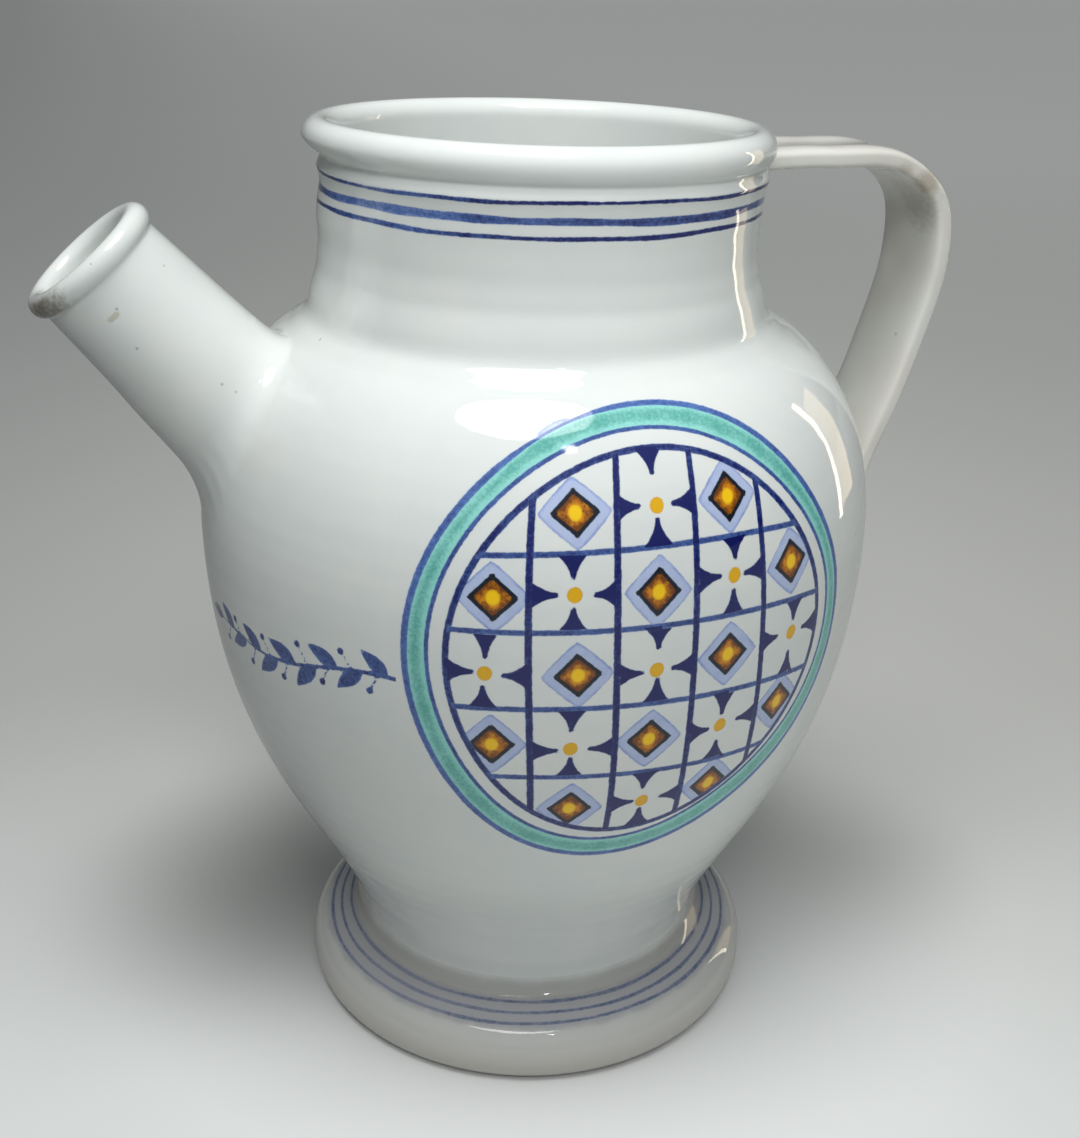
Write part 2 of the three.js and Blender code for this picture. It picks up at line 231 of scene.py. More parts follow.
def quadratic(low, corner, high, t):
    """Places at t on the quadratic curve that runs from low to high and turns towards a corner."""
    return (1 - t) ** 2 * low + 2 * t * (1 - t) * corner + t ** 2 * high


def lengths(points):
    """Length along a line of points, from 0 at the first."""
    return np.concatenate([[0], np.cumsum(np.linalg.norm(np.diff(points, axis=0), axis=1))])


def at_lengths(points, places):
    """Points at given lengths along a line, by linear interpolation."""
    along = lengths(points)
    return np.stack([np.interp(places, along, column) for column in points.T], axis=1)


def evenly(points, step):
    """The same line with points a step apart."""
    whole = lengths(points)[-1]
    return at_lengths(points, np.linspace(0, whole, int(whole / step) + 1))


def softened(line, spread):
    """A fine line with its corners rounded: each point is the mean of those beside it, weighted
    by a bell curve, and the line goes on past its ends by a half turn about them."""
    reach = int(4 * spread / OUTLINE_STEP)
    bell = np.exp(-0.5 * (np.arange(-reach, reach + 1) * OUTLINE_STEP / spread) ** 2)
    bell /= bell.sum()
    longer = np.pad(line, ((reach, reach), (0, 0)), mode="reflect", reflect_type="odd")
    return np.stack([np.convolve(column, bell, "valid") for column in longer.T], axis=1)


def rounded_line(parts, spread):
    """Parts joined end to end into one fine line with its corners rounded."""
    line = np.concatenate(parts)
    apart = np.linalg.norm(np.diff(line, axis=0), axis=1) > 1e-6
    return softened(evenly(line[np.append(True, apart)], OUTLINE_STEP), spread)


def unit(vectors):
    """The same directions with a length of one."""
    return vectors / np.maximum(np.linalg.norm(vectors, axis=-1, keepdims=True), 1e-12)


def left_of(points):
    """Directions square to a line of points, on its left."""
    slope = unit(np.gradient(points, axis=0))
    return np.stack([-slope[:, 1], slope[:, 0]], axis=1)


def smoothstep(low, high, value):
    """0 below low, 1 above high and a smooth S between."""
    t = np.clip((value - low) / (high - low), 0, 1)
    return t * t * (3 - 2 * t)


def body_walls(size):
    """The smooth outer wall from the waist over the shoulder to the neck's narrowest place, as
    (radius, height) points."""
    slope = math.radians(30)
    up_slope = np.array([-math.cos(slope), math.sin(slope)])
    waist = np.array([size.waist_radius, size.waist_height])
    widest = np.array([size.belly_radius, size.belly_height])
    shoulder = np.array([size.shoulder_radius, size.shoulder_height])
    neck = np.array([size.neck_radius, size.neck_height])
    spread, rise = widest - waist
    lower = bezier(waist, waist + (0.2 * spread, 0.275 * rise),
                   widest - (0, 0.555 * rise), widest)
    upper = bezier(widest, widest + (0, 0.54 * (shoulder[1] - widest[1])),
                   shoulder - 0.55 * (widest[0] - shoulder[0]) * up_slope, shoulder)
    corner = np.array([neck[0] + 3.4, shoulder[1] + 4.0])
    stem_foot = (neck[0] + 2.5, neck[1] - 9.6)
    inwards = unit(corner - shoulder)
    upwards = unit(stem_foot - corner)
    slope_end = corner - 2.6 * inwards
    slope_part = bezier(shoulder, shoulder + 2 * up_slope, slope_end - 2 * inwards, slope_end)
    turn_part = bezier(slope_end, corner - 0.5 * inwards, corner + 0.5 * upwards,
                       corner + 3.2 * upwards)
    cove = np.concatenate([slope_part, turn_part[1:], [stem_foot]])
    stem = bezier(stem_foot, (neck[0] + 1.6, neck[1] - 6.0), neck - (0, 3.2), neck)
    return np.concatenate([lower, upper[1:], cove[1:], stem[1:]])


def thrown_wall(size):
    """The wall as one line of (radius, height), from the middle of the underside out to the foot,
    up the outside, over the lip, down the inside and in to the middle of the floor. It comes with
    the lengths along it, its outside and its inside, and the lengths at its top and its end."""
    walls = body_walls(size)
    waist, neck = walls[0], walls[-1]
    edge = size.foot_radius
    bevel, roll, hollow = 4.1, 6.2, 0.5
    shelf = np.array([53.2, 14.1])
    foot = [
        [(0, hollow), (edge - bevel - 9, hollow), (edge - bevel - 7.5, 0)],
        arc((edge - bevel, roll), bevel, roll, -90, 0),
        bezier((edge, roll), (edge, roll + 0.56 * (shelf[1] - roll)),
               (shelf[0] + 0.6 * (edge - shelf[0]), roll + 0.86 * (shelf[1] - roll)), shelf),
        bezier(shelf, shelf + (waist - shelf) * (0.41, 0.21), (waist[0], 17.5), waist),
    ]
    joint = size.lip_joint
    under_lip = through([
        neck - (0, 6), neck, (neck[0] + 0.45, joint - 13), (neck[0] + 0.9, joint - 6.5),
        (neck[0] + 1.5, joint - 3.7), (neck[0] + 1.9, joint - 2.7),
        (neck[0] + 1.5, joint - 1.6), (neck[0] + GROOVE, joint)])[STRETCH + 1:]
    lip_half, lip_rise = 4.0, 4.05
    centre = np.array([size.lip_radius - lip_half, 0.0])
    start = -math.degrees(math.acos((neck[0] + GROOVE - centre[0]) / lip_half))
    centre[1] = joint - lip_rise * math.sin(math.radians(start))
    lip = arc(centre, lip_half, lip_rise, start, 180)
    smooth = evenly(np.concatenate([walls, [(neck[0] + 0.9, joint)]]), 0.5)
    inner = (smooth + size.wall * left_of(smooth))[::-1]
    inner = inner[inner[:, 1] < joint - 5]
    inside_waist = inner[-1]
    floor_flat = 26
    bowl = arc((floor_flat, inside_waist[1]), inside_waist[0] - floor_flat,
               inside_waist[1] - size.floor, 0, -90)
    line = rounded_line([*foot, walls, under_lip, lip, inner, bowl, [(0, size.floor)]],
                        WALL_ROUNDING)
    top = int(line[:, 1].argmax())
    smoother = softened(line, NECK_ROUNDING)
    on_neck = smoothstep(185.5, 190, line[:, 1]) * smoothstep(207, 201, line[:, 1])
    on_neck[top:] = 0
    line = line + on_neck[:, None] * (smoother - line)
    radius, height = line.T
    along = lengths(line)
    base = int(np.nonzero(height[:top] < 0.03)[0].max())
    outside, inside = (
        SimpleNamespace(along=along[part], radius=radius[part], height=height[part])
        for part in (slice(base, top), slice(None, top - 1, -1)))
    return SimpleNamespace(
        size=size, along=along, radius=radius, height=height, outside=outside, inside=inside,
        top=along[top], end=along[-1])


def along_at(side, height):
    """Length along the outline where one side of the wall has a height."""
    return float(np.interp(height, side.height, side.along))


def radius_at(side, height):
    """Radius of one side of the wall at a height."""
    return np.interp(height, side.height, side.radius)


def wall_point(wall, turn, along):
    """Points of the wall at turns about the axis and lengths along the outline: the outline turned
    about Z, drawn in by the hand's slight unevenness and pressed in under the lip on the spout's
    side, with the mouth tipped a little by a lean that grows smoothly above the shoulder."""
    radius = np.interp(along, wall.along, wall.radius)
    height = np.interp(along, wall.along, wall.height)
    on_outside = smoothstep(4, 14, along) * (1 - smoothstep(-3, 1, along - wall.top))
    oval = 0.10 * (1 + np.cos(2 * turn + 0.9)) + 0.06 * (1 + np.cos(3 * turn - 0.4 + height / 31))
    ring_place = height / 5.3 + 0.12 * np.sin(height / 3.7)
    rings = 0.5 + 0.5 * np.sin(FULL_TURN * ring_place + turn)
    ring_depth = (0.02 + 0.02 * smoothstep(70, 40, height)
                  + 0.03 * smoothstep(183, 192, height) * smoothstep(209, 202, height))
    pressed = (1.9 * np.exp(-((np.mod(turn, FULL_TURN) - 2.97) / 0.75) ** 2)
               * smoothstep(198, 209, height) * (1 - smoothstep(212, 216, height)))
    inner_rings = 0.25 * (0.5 + 0.5 * np.sin(FULL_TURN * height / 9.1 - turn))
    swell = smoothstep(22, 40, radius)
    radius = (radius - swell * on_outside * (oval + ring_depth * rings + pressed)
              - swell * (1 - on_outside) * inner_rings * smoothstep(wall.top + 14,
                                                                    wall.top + 40, along))
    x = radius * np.cos(turn)
    y = radius * np.sin(turn)
    tipped = smoothstep(wall.size.shoulder_height, wall.size.lip_joint, height)
    across = x * math.cos(wall.size.lean_turn) + y * math.sin(wall.size.lean_turn)
    return np.stack([x, y, height - tipped * math.tan(wall.size.lean) * across], axis=-1)


def wall_normal(wall, turn, along):
    """Outward directions of the wall, from the cross product of its slopes both ways. On the axis
    itself the direction is straight down below and straight up above the floor."""
    step = 0.15
    radius = np.interp(along, wall.along, wall.radius)
    wide = step / np.maximum(radius, 3.0)
    round_it = wall_point(wall, turn + wide, along) - wall_point(wall, turn - wide, along)
    up_it = wall_point(wall, turn, along + step) - wall_point(wall, turn, along - step)
    normal = unit(np.cross(round_it, up_it))
    upright = np.zeros_like(normal)
    upright[..., 2] = np.where(along < wall.top, -1.0, 1.0)
    return np.where(radius[..., None] < 1.0, upright, normal)


class Shell:
    """Collects the vertices, directions and faces of one closed piece, in millimetres."""

    def __init__(self):
        self.points = []
        self.normals = []
        self.fields = []
        self.faces = []
        self.count = 0

    def add(self, points, normals, **fields):
        """Adds vertices and gives their numbers in the shape of the grid they came in."""
        shape = points.shape[:-1]
        total = int(np.prod(shape))
        self.points.append(points.reshape(-1, 3))
        self.normals.append(np.broadcast_to(normals, points.shape).reshape(-1, 3))
        self.fields.append((total, {key: np.broadcast_to(value, shape).ravel()
                                    for key, value in fields.items()}))
        numbers = self.count + np.arange(total).reshape(shape)
        self.count += total
        return numbers

    def grid(self, numbers, skipped=None):
        """Quads between the rows of a grid of vertices and round each row. A row runs
        anticlockwise as seen from outside and the next row lies above it."""
        after = np.roll(numbers, -1, axis=1)
        quads = np.stack([numbers[:-1], after[:-1], after[1:], numbers[1:]], axis=-1)
        self.faces.append(quads.reshape(-1, 4) if skipped is None else quads[~skipped])

    def cap(self, ring, point, above):
        """Triangles from a closed ring to one vertex, which lies above the ring or below it."""
        after = np.roll(ring, -1)
        middle = np.full_like(ring, point)
        order = [ring, after, middle] if above else [after, ring, middle]
        self.faces.append(np.stack(order, axis=-1))

    def zip(self, low, low_turn, high, high_turn):
        """Triangles between two closed rings with different counts. The edges of both rings are
        taken in the order of their middles' turns, and each is joined to the vertex that the
        other ring has reached by then."""
        low_middle = low_turn + np.diff(low_turn, append=low_turn[0] + FULL_TURN) / 2
        high_middle = high_turn + np.diff(high_turn, append=high_turn[0] + FULL_TURN) / 2
        reached_high = np.searchsorted(high_middle, low_middle) % len(high)
        reached_low = np.searchsorted(low_middle, high_middle, side="right") % len(low)
        self.faces.append(np.stack([low, np.roll(low, -1), high[reached_high]], axis=-1))
        self.faces.append(np.stack([low[reached_low], np.roll(high, -1), high], axis=-1))

    def piece(self, node, material):
        """Makes the object that stands for a node, without the vertices that no face uses."""
        name = node + "_glazed"
        used = np.zeros(self.count, bool)
        for faces in self.faces:
            used[faces.ravel()] = True
        renumbered = np.cumsum(used) - 1
        points = np.concatenate(self.points)[used] * MM
        normals = np.concatenate(self.normals)[used]
        corners = np.concatenate([renumbered[faces].ravel() for faces in self.faces])
        sizes = np.concatenate([np.full(len(faces), faces.shape[1]) for faces in self.faces])
        mesh = bpy.data.meshes.new(name)
        mesh.vertices.add(len(points))
        mesh.vertices.foreach_set("co", points.astype(np.float32).ravel())
        mesh.loops.add(len(corners))
        mesh.loops.foreach_set("vertex_index", corners.astype(np.int32))
        mesh.polygons.add(len(sizes))
        mesh.polygons.foreach_set("loop_start", (np.cumsum(sizes) - sizes).astype(np.int32))
        mesh.polygons.foreach_set("loop_total", sizes.astype(np.int32))
        mesh.update(calc_edges=True)
        if mesh.validate():
            raise RuntimeError(name + " has faces that Blender had to repair")
        mesh.polygons.foreach_set("use_smooth", np.ones(len(sizes), bool))
        mesh.normals_split_custom_set_from_vertices(normals.astype(np.float32))
        for key in sorted({key for _, fields in self.fields for key in fields}):
            column = np.concatenate([
                fields.get(key, np.full(total, NOWHERE)) for total, fields in self.fields])
            attribute = mesh.attributes.new(key, "FLOAT", "POINT")
            attribute.data.foreach_set("value", column[used].astype(np.float32))
        mesh.materials.append(material)
        made = bpy.data.objects.new(name, mesh)
        bpy.context.scene.collection.objects.link(made)
        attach(made, BODY)
        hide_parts(node)


def grid_normals(points, round_closed=True):
    """Outward directions of a grid of points, from its slopes along the rows and across them."""
    if round_closed:
        wider = np.concatenate([points[:, -1:], points, points[:, :1]], axis=1)
        round_it = wider[:, 2:] - wider[:, :-2]
    else:
        round_it = np.gradient(points, axis=1)
    return unit(np.cross(round_it, np.gradient(points, axis=0)))


def body_turns():
    """Turns of the wall's columns: coarse at the back, fine under the painting and the spout."""
    coarse = np.arange(COARSE_FROM, COARSE_TO, COARSE_TURN)
    fine = np.arange(COARSE_TO, COARSE_FROM + 360, FINE_TURN)
    return np.radians(np.concatenate([coarse, fine]))


def inner_turns():
    """Turns of the columns on the inside of the wall."""
    return math.radians(COARSE_FROM) + np.arange(INNER_COLUMNS) * FULL_TURN / INNER_COLUMNS


def spaced(*stops):
    """Lengths along the outline from stops of (length, spacing up to the next stop)."""
    parts = []
    for (start, step), (end, _) in zip(stops[:-1], stops[1:]):
        parts.append(np.linspace(start, end, max(int(round((end - start) / step)), 1) + 1)[:-1])
    return np.concatenate(parts + [[stops[-1][0]]])


def wall_grid(shell, wall, turns, along, paint=None):
    """Adds the wall's vertices at every turn and length, with their directions and paint."""
    return wall_vertices(shell, wall, *np.meshgrid(turns, along), paint)


def wall_vertices(shell, wall, turn, place, paint=None):
    """Adds vertices of the wall where a turn and a length are given for each."""
    made = paint(turn, place) if paint else {}
    return shell.add(wall_point(wall, turn, place), wall_normal(wall, turn, place), **made)


def wall_rings(shell, wall, start, end, shares, paint=None):
    """Rings of the wall's vertices that blend from one loop to another. A loop is given as turns
    and lengths."""
    rings = []
    for blend in shares:
        turn, place = ((1 - blend) * a + blend * b for a, b in zip(start, end))
        rings.append(wall_vertices(shell, wall, turn, place, paint))
    return rings


def window_round(loop, turns, along, margin):
    """First and last column and row of a window in a grid, a margin away from a loop."""
    first, last = np.searchsorted(turns, [loop[0].min(), loop[0].max()]) + [-margin, margin]
    low, high = np.searchsorted(along, [loop[1].min(), loop[1].max()]) + [-margin, margin]
    return first, last, low, high


def framed(grid, window, downwards=False):
    """Values round a window of a grid, anticlockwise as seen from outside the jug, from the lower
    left corner. Downwards says that the grid's rows go down."""
    first, last, low, high = window
    if downwards:
        low, high = high, low
    step = -1 if downwards else 1
    return np.concatenate([
        grid[low, first:last], grid[low:high:step, last],
        grid[high, last:first:-1], grid[high:low:-step, first]])


def open_grid(shell, wall, turns, along, window, paint=None):
    """Adds a grid of the wall whose faces leave a window open."""
    first, last, low, high = window
    grid = wall_grid(shell, wall, turns, along, paint)
    skipped = np.zeros((len(along) - 1, len(turns)), bool)
    skipped[low:high, first:last] = True
    shell.grid(grid, skipped)
    return grid


def make_foot(wall, material, paint):
    """The foot: underside, rolled edge and slope up to the waist, and the floor of the jug."""
    shell = Shell()
    turns, inside_turns = body_turns(), inner_turns()
    flat_end = wall.outside.along[0]
    waist = along_at(wall.outside, wall.size.waist_height)
    lines = along_at(wall.outside, 12.5)
    rows = spaced((1.0, 4.0), (flat_end, 0.7), (lines, 0.3), (waist, 1))
    outer = wall_grid(shell, wall, turns, rows, paint)
    shell.grid(outer)
    pole = wall_grid(shell, wall, np.zeros(1), np.zeros(1))
    shell.cap(outer[0], pole[0, 0], above=False)
    inside_waist = along_at(wall.inside, wall.size.waist_height)
    rows = spaced((inside_waist, 2.0), (wall.end - 2, 1))
    inner = wall_grid(shell, wall, inside_turns, rows)
    shell.grid(inner)
    shell.zip(outer[-1], turns, inner[0], inside_turns)
    pole = wall_grid(shell, wall, np.zeros(1), np.full(1, wall.end))
    shell.cap(inner[-1], pole[0, 0], above=True)
    shell.piece("foot", material)


def make_ring_piece(node, wall, stops, inner_stops, material, paint=None):
    """A piece of the wall that is open above and below: its outside, its inside and the two flat
    joints that these leave."""
    shell = Shell()
    turns, inside_turns = body_turns(), inner_turns()
    outer = wall_grid(shell, wall, turns, spaced(*stops), paint)
    inner = wall_grid(shell, wall, inside_turns, spaced(*inner_stops))
    shell.grid(outer)
    shell.grid(inner)
    shell.zip(outer[-1], turns, inner[0], inside_turns)
    shell.zip(inner[-1], inside_turns, outer[0], turns)
    shell.piece(node, material)


class SpoutFrame:
    """The spout's own frame: its root on the belly, its axis, and the two directions across it."""

    def __init__(self, wall, sizes):
        tilt = sizes.elevation
        self.axis = np.array([-math.cos(tilt), 0, math.sin(tilt)])
        self.up = np.array([math.sin(tilt), 0, math.cos(tilt)])
        self.side = np.array([0.0, 1.0, 0.0])
        root_radius = radius_at(wall.outside, sizes.root_height)
        self.root = np.array([-root_radius, 0, sizes.root_height])
        self.tube_top = sizes.reach - sizes.bead_half
        self.taper = (sizes.root_radius - sizes.tip_radius) / self.tube_top
        self.sizes = sizes
        self.wall = wall

    def tube_radius(self, along):
        """Outer radius of the tube at a distance along the axis."""
        return self.sizes.tip_radius + self.taper * (self.tube_top - along)

    def bore_radius(self, along):
        """Inner radius of the tube at a distance along the axis."""
        return self.tube_radius(along) - self.sizes.wall

    def across(self, turn):
        """Directions away from the axis at turns about it."""
        return np.cos(turn)[..., None] * self.up + np.sin(turn)[..., None] * self.side

    def point(self, turn, radius, along):
        """Root plus the radius at a turn about the axis plus the distance along the axis."""
        turn, radius, along = np.broadcast_arrays(turn, radius, along)
        return self.root + radius[..., None] * self.across(turn) + along[..., None] * self.axis

    def turn_of(self, points):
        """Turn about the axis at which points lie, from 0 to a full turn."""
        away = points - self.root
        return np.arctan2(away @ self.side, away @ self.up) % FULL_TURN

    def on_wall(self, side, turn, radius):
        """Turn about the jug and length along the outline where a line beside the spout's axis
        meets one side of the wall, halving the stretch between a point outside and one inside.
        Radius is a function of the distance along the axis."""
        outside = np.full_like(turn, 30.0)
        inside = np.full_like(turn, -45.0)
        for _ in range(30):
            middle = (outside + inside) / 2
            at = self.point(turn, radius(middle), middle)
            out = np.hypot(at[..., 0], at[..., 1]) > radius_at(side, at[..., 2])
            outside = np.where(out, middle, outside)
            inside = np.where(out, inside, middle)
        at = self.point(turn, radius(outside), outside)
        return (np.arctan2(at[..., 1], at[..., 0]) % FULL_TURN,
                np.interp(at[..., 2], side.height, side.along))

    def collar_foot(self, turn):
        """Turn about the jug and length along the outline of the collar's foot."""
        radius = self.sizes.root_radius + collar_spread(turn)
        return self.on_wall(self.wall.outside, turn, lambda along: radius)


# The collar's hidden side lies this deep, in millimetres
COLLAR_BED = 0.3


def collar_lead(turn):
    """How far the collar climbs the spout: further under the spout and above it."""
    return 7.0 + 2.6 * np.cos(turn) ** 2


def collar_spread(turn):
    """How far the collar's foot spreads past the spout."""
    return 2.0 + 5.6 * np.sqrt(0.5 - 0.5 * np.cos(turn))


def belly_grid(wall):
    """Turns and lengths of the belly's outer grid."""
    start = along_at(wall.outside, wall.size.waist_height)
    end = along_at(wall.outside, wall.size.neck_joint)
    return body_turns(), spaced((start, 1.6), (start + 56, 0.68), (start + 164, 1.2), (end, 1))


def spout_loop(wall, spout):
    """The window in the belly's outer grid round the spout, the turns and lengths of its edge,
    and the turns about the spout that go with them. Belly, collar and tube have their vertices
    at these turns."""
    grid = belly_grid(wall)
    window = window_round(spout.collar_foot(ROUND_SPOUT), *grid, 3)
    edge = [framed(values, window) for values in np.meshgrid(*grid)]
    return window, edge, np.unwrap(spout.turn_of(wall_point(wall, *edge)))


def make_belly(wall, spout, material, paint):
    """The belly, a closed shell with the spout's bore through it. Round the bore the regular grid
    gives way to rings that blend, in turn and length, from a window's edge to the collar's foot
    and on to the bore."""
    shell = Shell()
    turns, along = belly_grid(wall)
    window, edge, loop = spout_loop(wall, spout)
    outer = open_grid(shell, wall, turns, along, window, paint)
    foot = spout.collar_foot(loop)
    mouth = spout.on_wall(wall.outside, loop, spout.bore_radius)
    rings = [framed(outer, window)]
    for start, end, count in ((edge, foot, 7), (foot, mouth, 9)):
        rings += wall_rings(shell, wall, start, end, np.linspace(0, 1, count)[1:], paint)
    shell.grid(np.stack(rings))

    inside_turns = inner_turns()
    start = along_at(wall.inside, wall.size.neck_joint)
    end = along_at(wall.inside, wall.size.waist_height)
    along = spaced((start, 2.6), (start + 60, 4), (end, 1))
    hole = spout.on_wall(wall.inside, ROUND_SPOUT, spout.bore_radius)
    window = window_round(hole, inside_turns, along, 2)
    inner = open_grid(shell, wall, inside_turns, along, window)
    edge = [framed(values, window, True) for values in np.meshgrid(inside_turns, along)]
    inner_loop = np.unwrap(spout.turn_of(wall_point(wall, *edge)))
    hole = spout.on_wall(wall.inside, inner_loop, spout.bore_radius)
    inner_rings = wall_rings(shell, wall, hole, edge, np.linspace(0, 1, 5)[:-1])
    shell.grid(np.stack(inner_rings + [framed(inner, window, True)]))

    hole = spout.on_wall(wall.inside, loop, spout.bore_radius)
    bore_start = wall_point(wall, *mouth)
    depth = wall_point(wall, *hole) - bore_start
    bore = [rings[-1]]
    for part in (0.33, 0.67):
        bore.append(shell.add(bore_start + depth * part, -spout.across(loop)))
    shell.grid(np.stack(bore))
    shell.zip(bore[-1], loop, inner_rings[0], inner_loop)
    shell.zip(outer[-1], turns, inner[0], inside_turns)
    shell.zip(inner[-1], inside_turns, outer[0], turns)
    shell.piece("belly", material)


def spout_profile(spout):
    """The tube's outer side, the bead round the mouth and the bore, as one softened line of
    (radius, distance along the axis), and the lengths where it passes the top of the tube."""
    size = spout.sizes
    top, start = spout.tube_top, 16.0
    bore = spout.bore_radius(top)
    half = (size.bead_radius - bore) / 2
    first = -math.degrees(math.acos((size.tip_radius - bore - half) / half))
    bead = arc((bore + half, size.reach), half, size.bead_half, first, 180)
    line = rounded_line([
        [(spout.tube_radius(start), start), (spout.tube_radius(top), top)], bead,
        [(bore, top), (spout.bore_radius(start), start)]], SPOUT_ROUNDING)
    along = lengths(line)
    crown = int(line[:, 1].argmax())
    outer_joint = float(np.interp(top, line[:crown, 1], along[:crown]))
    inner_joint = float(np.interp(top, line[crown:][::-1, 1], along[crown:][::-1]))
    return SimpleNamespace(line=line, along=along, outer_joint=outer_joint,
                           inner_joint=inner_joint)


def spout_point(spout, turn, radius, along):
    """A point of the spout, drawn in a little by the hand's unevenness away from the collar."""
    away = smoothstep(9, 22, along)
    uneven = 0.09 * (1 + np.cos(2 * turn + 0.5)) + 0.07 * (1 + np.cos(3 * turn + along / 9))
    shorter = 0.16 * (1 + np.cos(turn - 1.1)) * smoothstep(30, 40, along)
    return spout.point(turn, radius - away * uneven, along - shorter)


def tube_point(spout, turn, along):
    """A point of the tube's outer side."""
    return spout_point(spout, turn, spout.tube_radius(along), along)


def profile_grid(spout, profile, turns, places):
    """Points of the spout at every turn, for lengths along its profile."""
    turn, place = np.meshgrid(turns, places)
    return spout_point(spout, turn, np.interp(place, profile.along, profile.line[:, 0]),
                       np.interp(place, profile.along, profile.line[:, 1]))


def profile_normals(spout, profile, turns, places):
    """Outward directions of the spout, from the cross product of its slopes both ways."""
    step = 0.1
    wide = 0.01
    round_it = (profile_grid(spout, profile, turns + wide, places)
                - profile_grid(spout, profile, turns - wide, places))
    up_it = (profile_grid(spout, profile, turns, places + step)
             - profile_grid(spout, profile, turns, places - step))
    return unit(np.cross(round_it, up_it))


def make_collar(wall, spout, loop, material):
    """The collar: at each turn about the spout a quadratic curve that leaves the belly in its
    slope at the foot and meets the spout along its side, on a shallow hidden bed. It gives how
    far along the spout its upper edge lies, and the directions there."""
    shell = Shell()
    count = 22
    foot_at = spout.collar_foot(loop)
    foot = wall_point(wall, *foot_at)
    wall_up = wall_normal(wall, *foot_at)
    level = (wall_up * (foot - spout.root)).sum(axis=-1)
    corner_at = np.zeros_like(loop)
    for _ in range(6):
        sideways = spout.tube_radius(corner_at) * (wall_up * spout.across(loop)).sum(axis=-1)
        corner_at = (level - sideways) / (wall_up @ spout.axis)
    top_at = corner_at + collar_lead(loop)
    corner = tube_point(spout, loop, corner_at)
    top = tube_point(spout, loop, top_at)
    rows = quadratic(foot, corner, top, np.linspace(0, 1, count)[:, None, None])
    normals = grid_normals(rows)
    step = 0.1
    along_tube = tube_point(spout, loop, top_at + step) - tube_point(spout, loop, top_at - step)
    round_tube = tube_point(spout, loop + step, top_at) - tube_point(spout, loop - step, top_at)
    normals[0] = wall_up
    normals[-1] = unit(np.cross(round_tube, along_tube))
    visible = shell.add(rows, normals)
    bed_normals = normals[[-1, count // 2 - 1, 0]]
    bed = shell.add(np.stack([top, corner, foot]) - COLLAR_BED * bed_normals, -bed_normals)
    shell.grid(np.concatenate([visible, bed, visible[:1]]))
    shell.piece("spout_collar", material)
    return top_at, normals[-1]


def make_tube(wall, spout, loop, top_at, upper, material):
    """The spout's tube: up its outer side, in over the joint to the bead, down the bore to the
    belly and back out under the collar."""
    shell = Shell()
    profile = spout_profile(spout)
    straight_top = 24.0
    half = len(profile.line) // 2
    first = np.interp(straight_top, profile.line[:half, 1], profile.along[:half])
    climb = np.linspace(0, 1, 14)[:-1, None]
    lower = tube_point(spout, loop, top_at + (straight_top - top_at) * climb)
    places = spaced((first, 0.8), (profile.outer_joint - 1.5, 0.25), (profile.outer_joint, 1))
    upper_part = profile_grid(spout, profile, loop, places)
    outside = np.concatenate([lower, upper_part])
    normals = grid_normals(outside)
    normals[0] = upper
    normals[-1] = profile_normals(spout, profile, loop, places[-1:])[0]
    outer = shell.add(outside, normals)
    places = spaced((profile.inner_joint, 0.8), (profile.along[-1] - 1.0, 1))
    bore_top = profile_grid(spout, profile, loop, places)
    bore_end = wall_point(wall, *spout.on_wall(wall.outside, loop, spout.bore_radius))
    fall = np.linspace(0, 1, 6)[1:, None, None]
    bore = np.concatenate([bore_top, bore_top[-1] + (bore_end - bore_top[-1]) * fall])
    inner = shell.add(bore, grid_normals(bore))
    root_turn, root_along = spout.on_wall(wall.outside, loop, spout.tube_radius)
    root = wall_vertices(shell, wall, root_turn[None], root_along[None])
    shell.grid(np.concatenate([outer, inner, root, outer[:1]]))
    shell.piece("spout_tube", material)
    return profile


def make_bead(spout, profile, loop, material):
    """The rolled bead round the spout's mouth: the rest of the spout's profile, turned."""
    shell = Shell()
    places = spaced((profile.outer_joint, 0.3), (profile.inner_joint, 1))
    points = profile_grid(spout, profile, loop, places)
    bead = shell.add(points, profile_normals(spout, profile, loop, places))
    shell.grid(np.concatenate([bead, bead[:1]]))
    shell.piece("spout_mouth_bead", material)


# The roundel on the belly, drawn on a chart of millimetres: across is the turn from its middle
# times the mean of the radius there and the widest one, up is the length from the waist.
ROUNDEL_TURN = 270
ROUNDEL_MIDDLE = (1.1, 110.1)
OUTER_CIRCLE = (51.8, (-0.4, 0.7), (-0.2, 0.1), (0.8, -0.7), (0.7, -0.9))
BAND_CIRCLE = (46.6, (-0.7, 1.1), (0.2, 0.2), (1.1, -0.3), (0.7, -0.7))
INNER_CIRCLE = (43.1, (-0.3, 0.3), (-0.1, 0.0), (0.6, -0.2), (0.5, -0.5))
# Each line of the chequer is a place, a slant, a bow and a twist, at 40 mm from the middle
UPRIGHTS = ((-25.5, -1.0, 1.9, 1.1), (-7.7, -1.2, 1.2, 1.1), (9.1, -0.8, 1.0, 0.8),
            (26.4, -2.2, 0.5, 1.4))
LEVELS = ((134.7, 0.0, -1.6, -0.5), (118.5, -0.6, -1.1, -0.4), (101.0, -1.3, -1.3, -0.1),
          (83.4, -1.8, -0.8, 0.6))
MOTIF_COLUMNS = (-32.6, -15.6, 0.6, 17.5, 34.2)
MOTIF_ROWS = (142.3, 125.8, 109.3, 92.3, 75.1)
FLOWER_COLUMNS = (-33.9, -16.3, 0.9, 17.8, 35.4)
FLOWER_ROWS = (143.0, 126.4, 109.1, 91.7, 74.9)
LINE_SPACING = 17.2
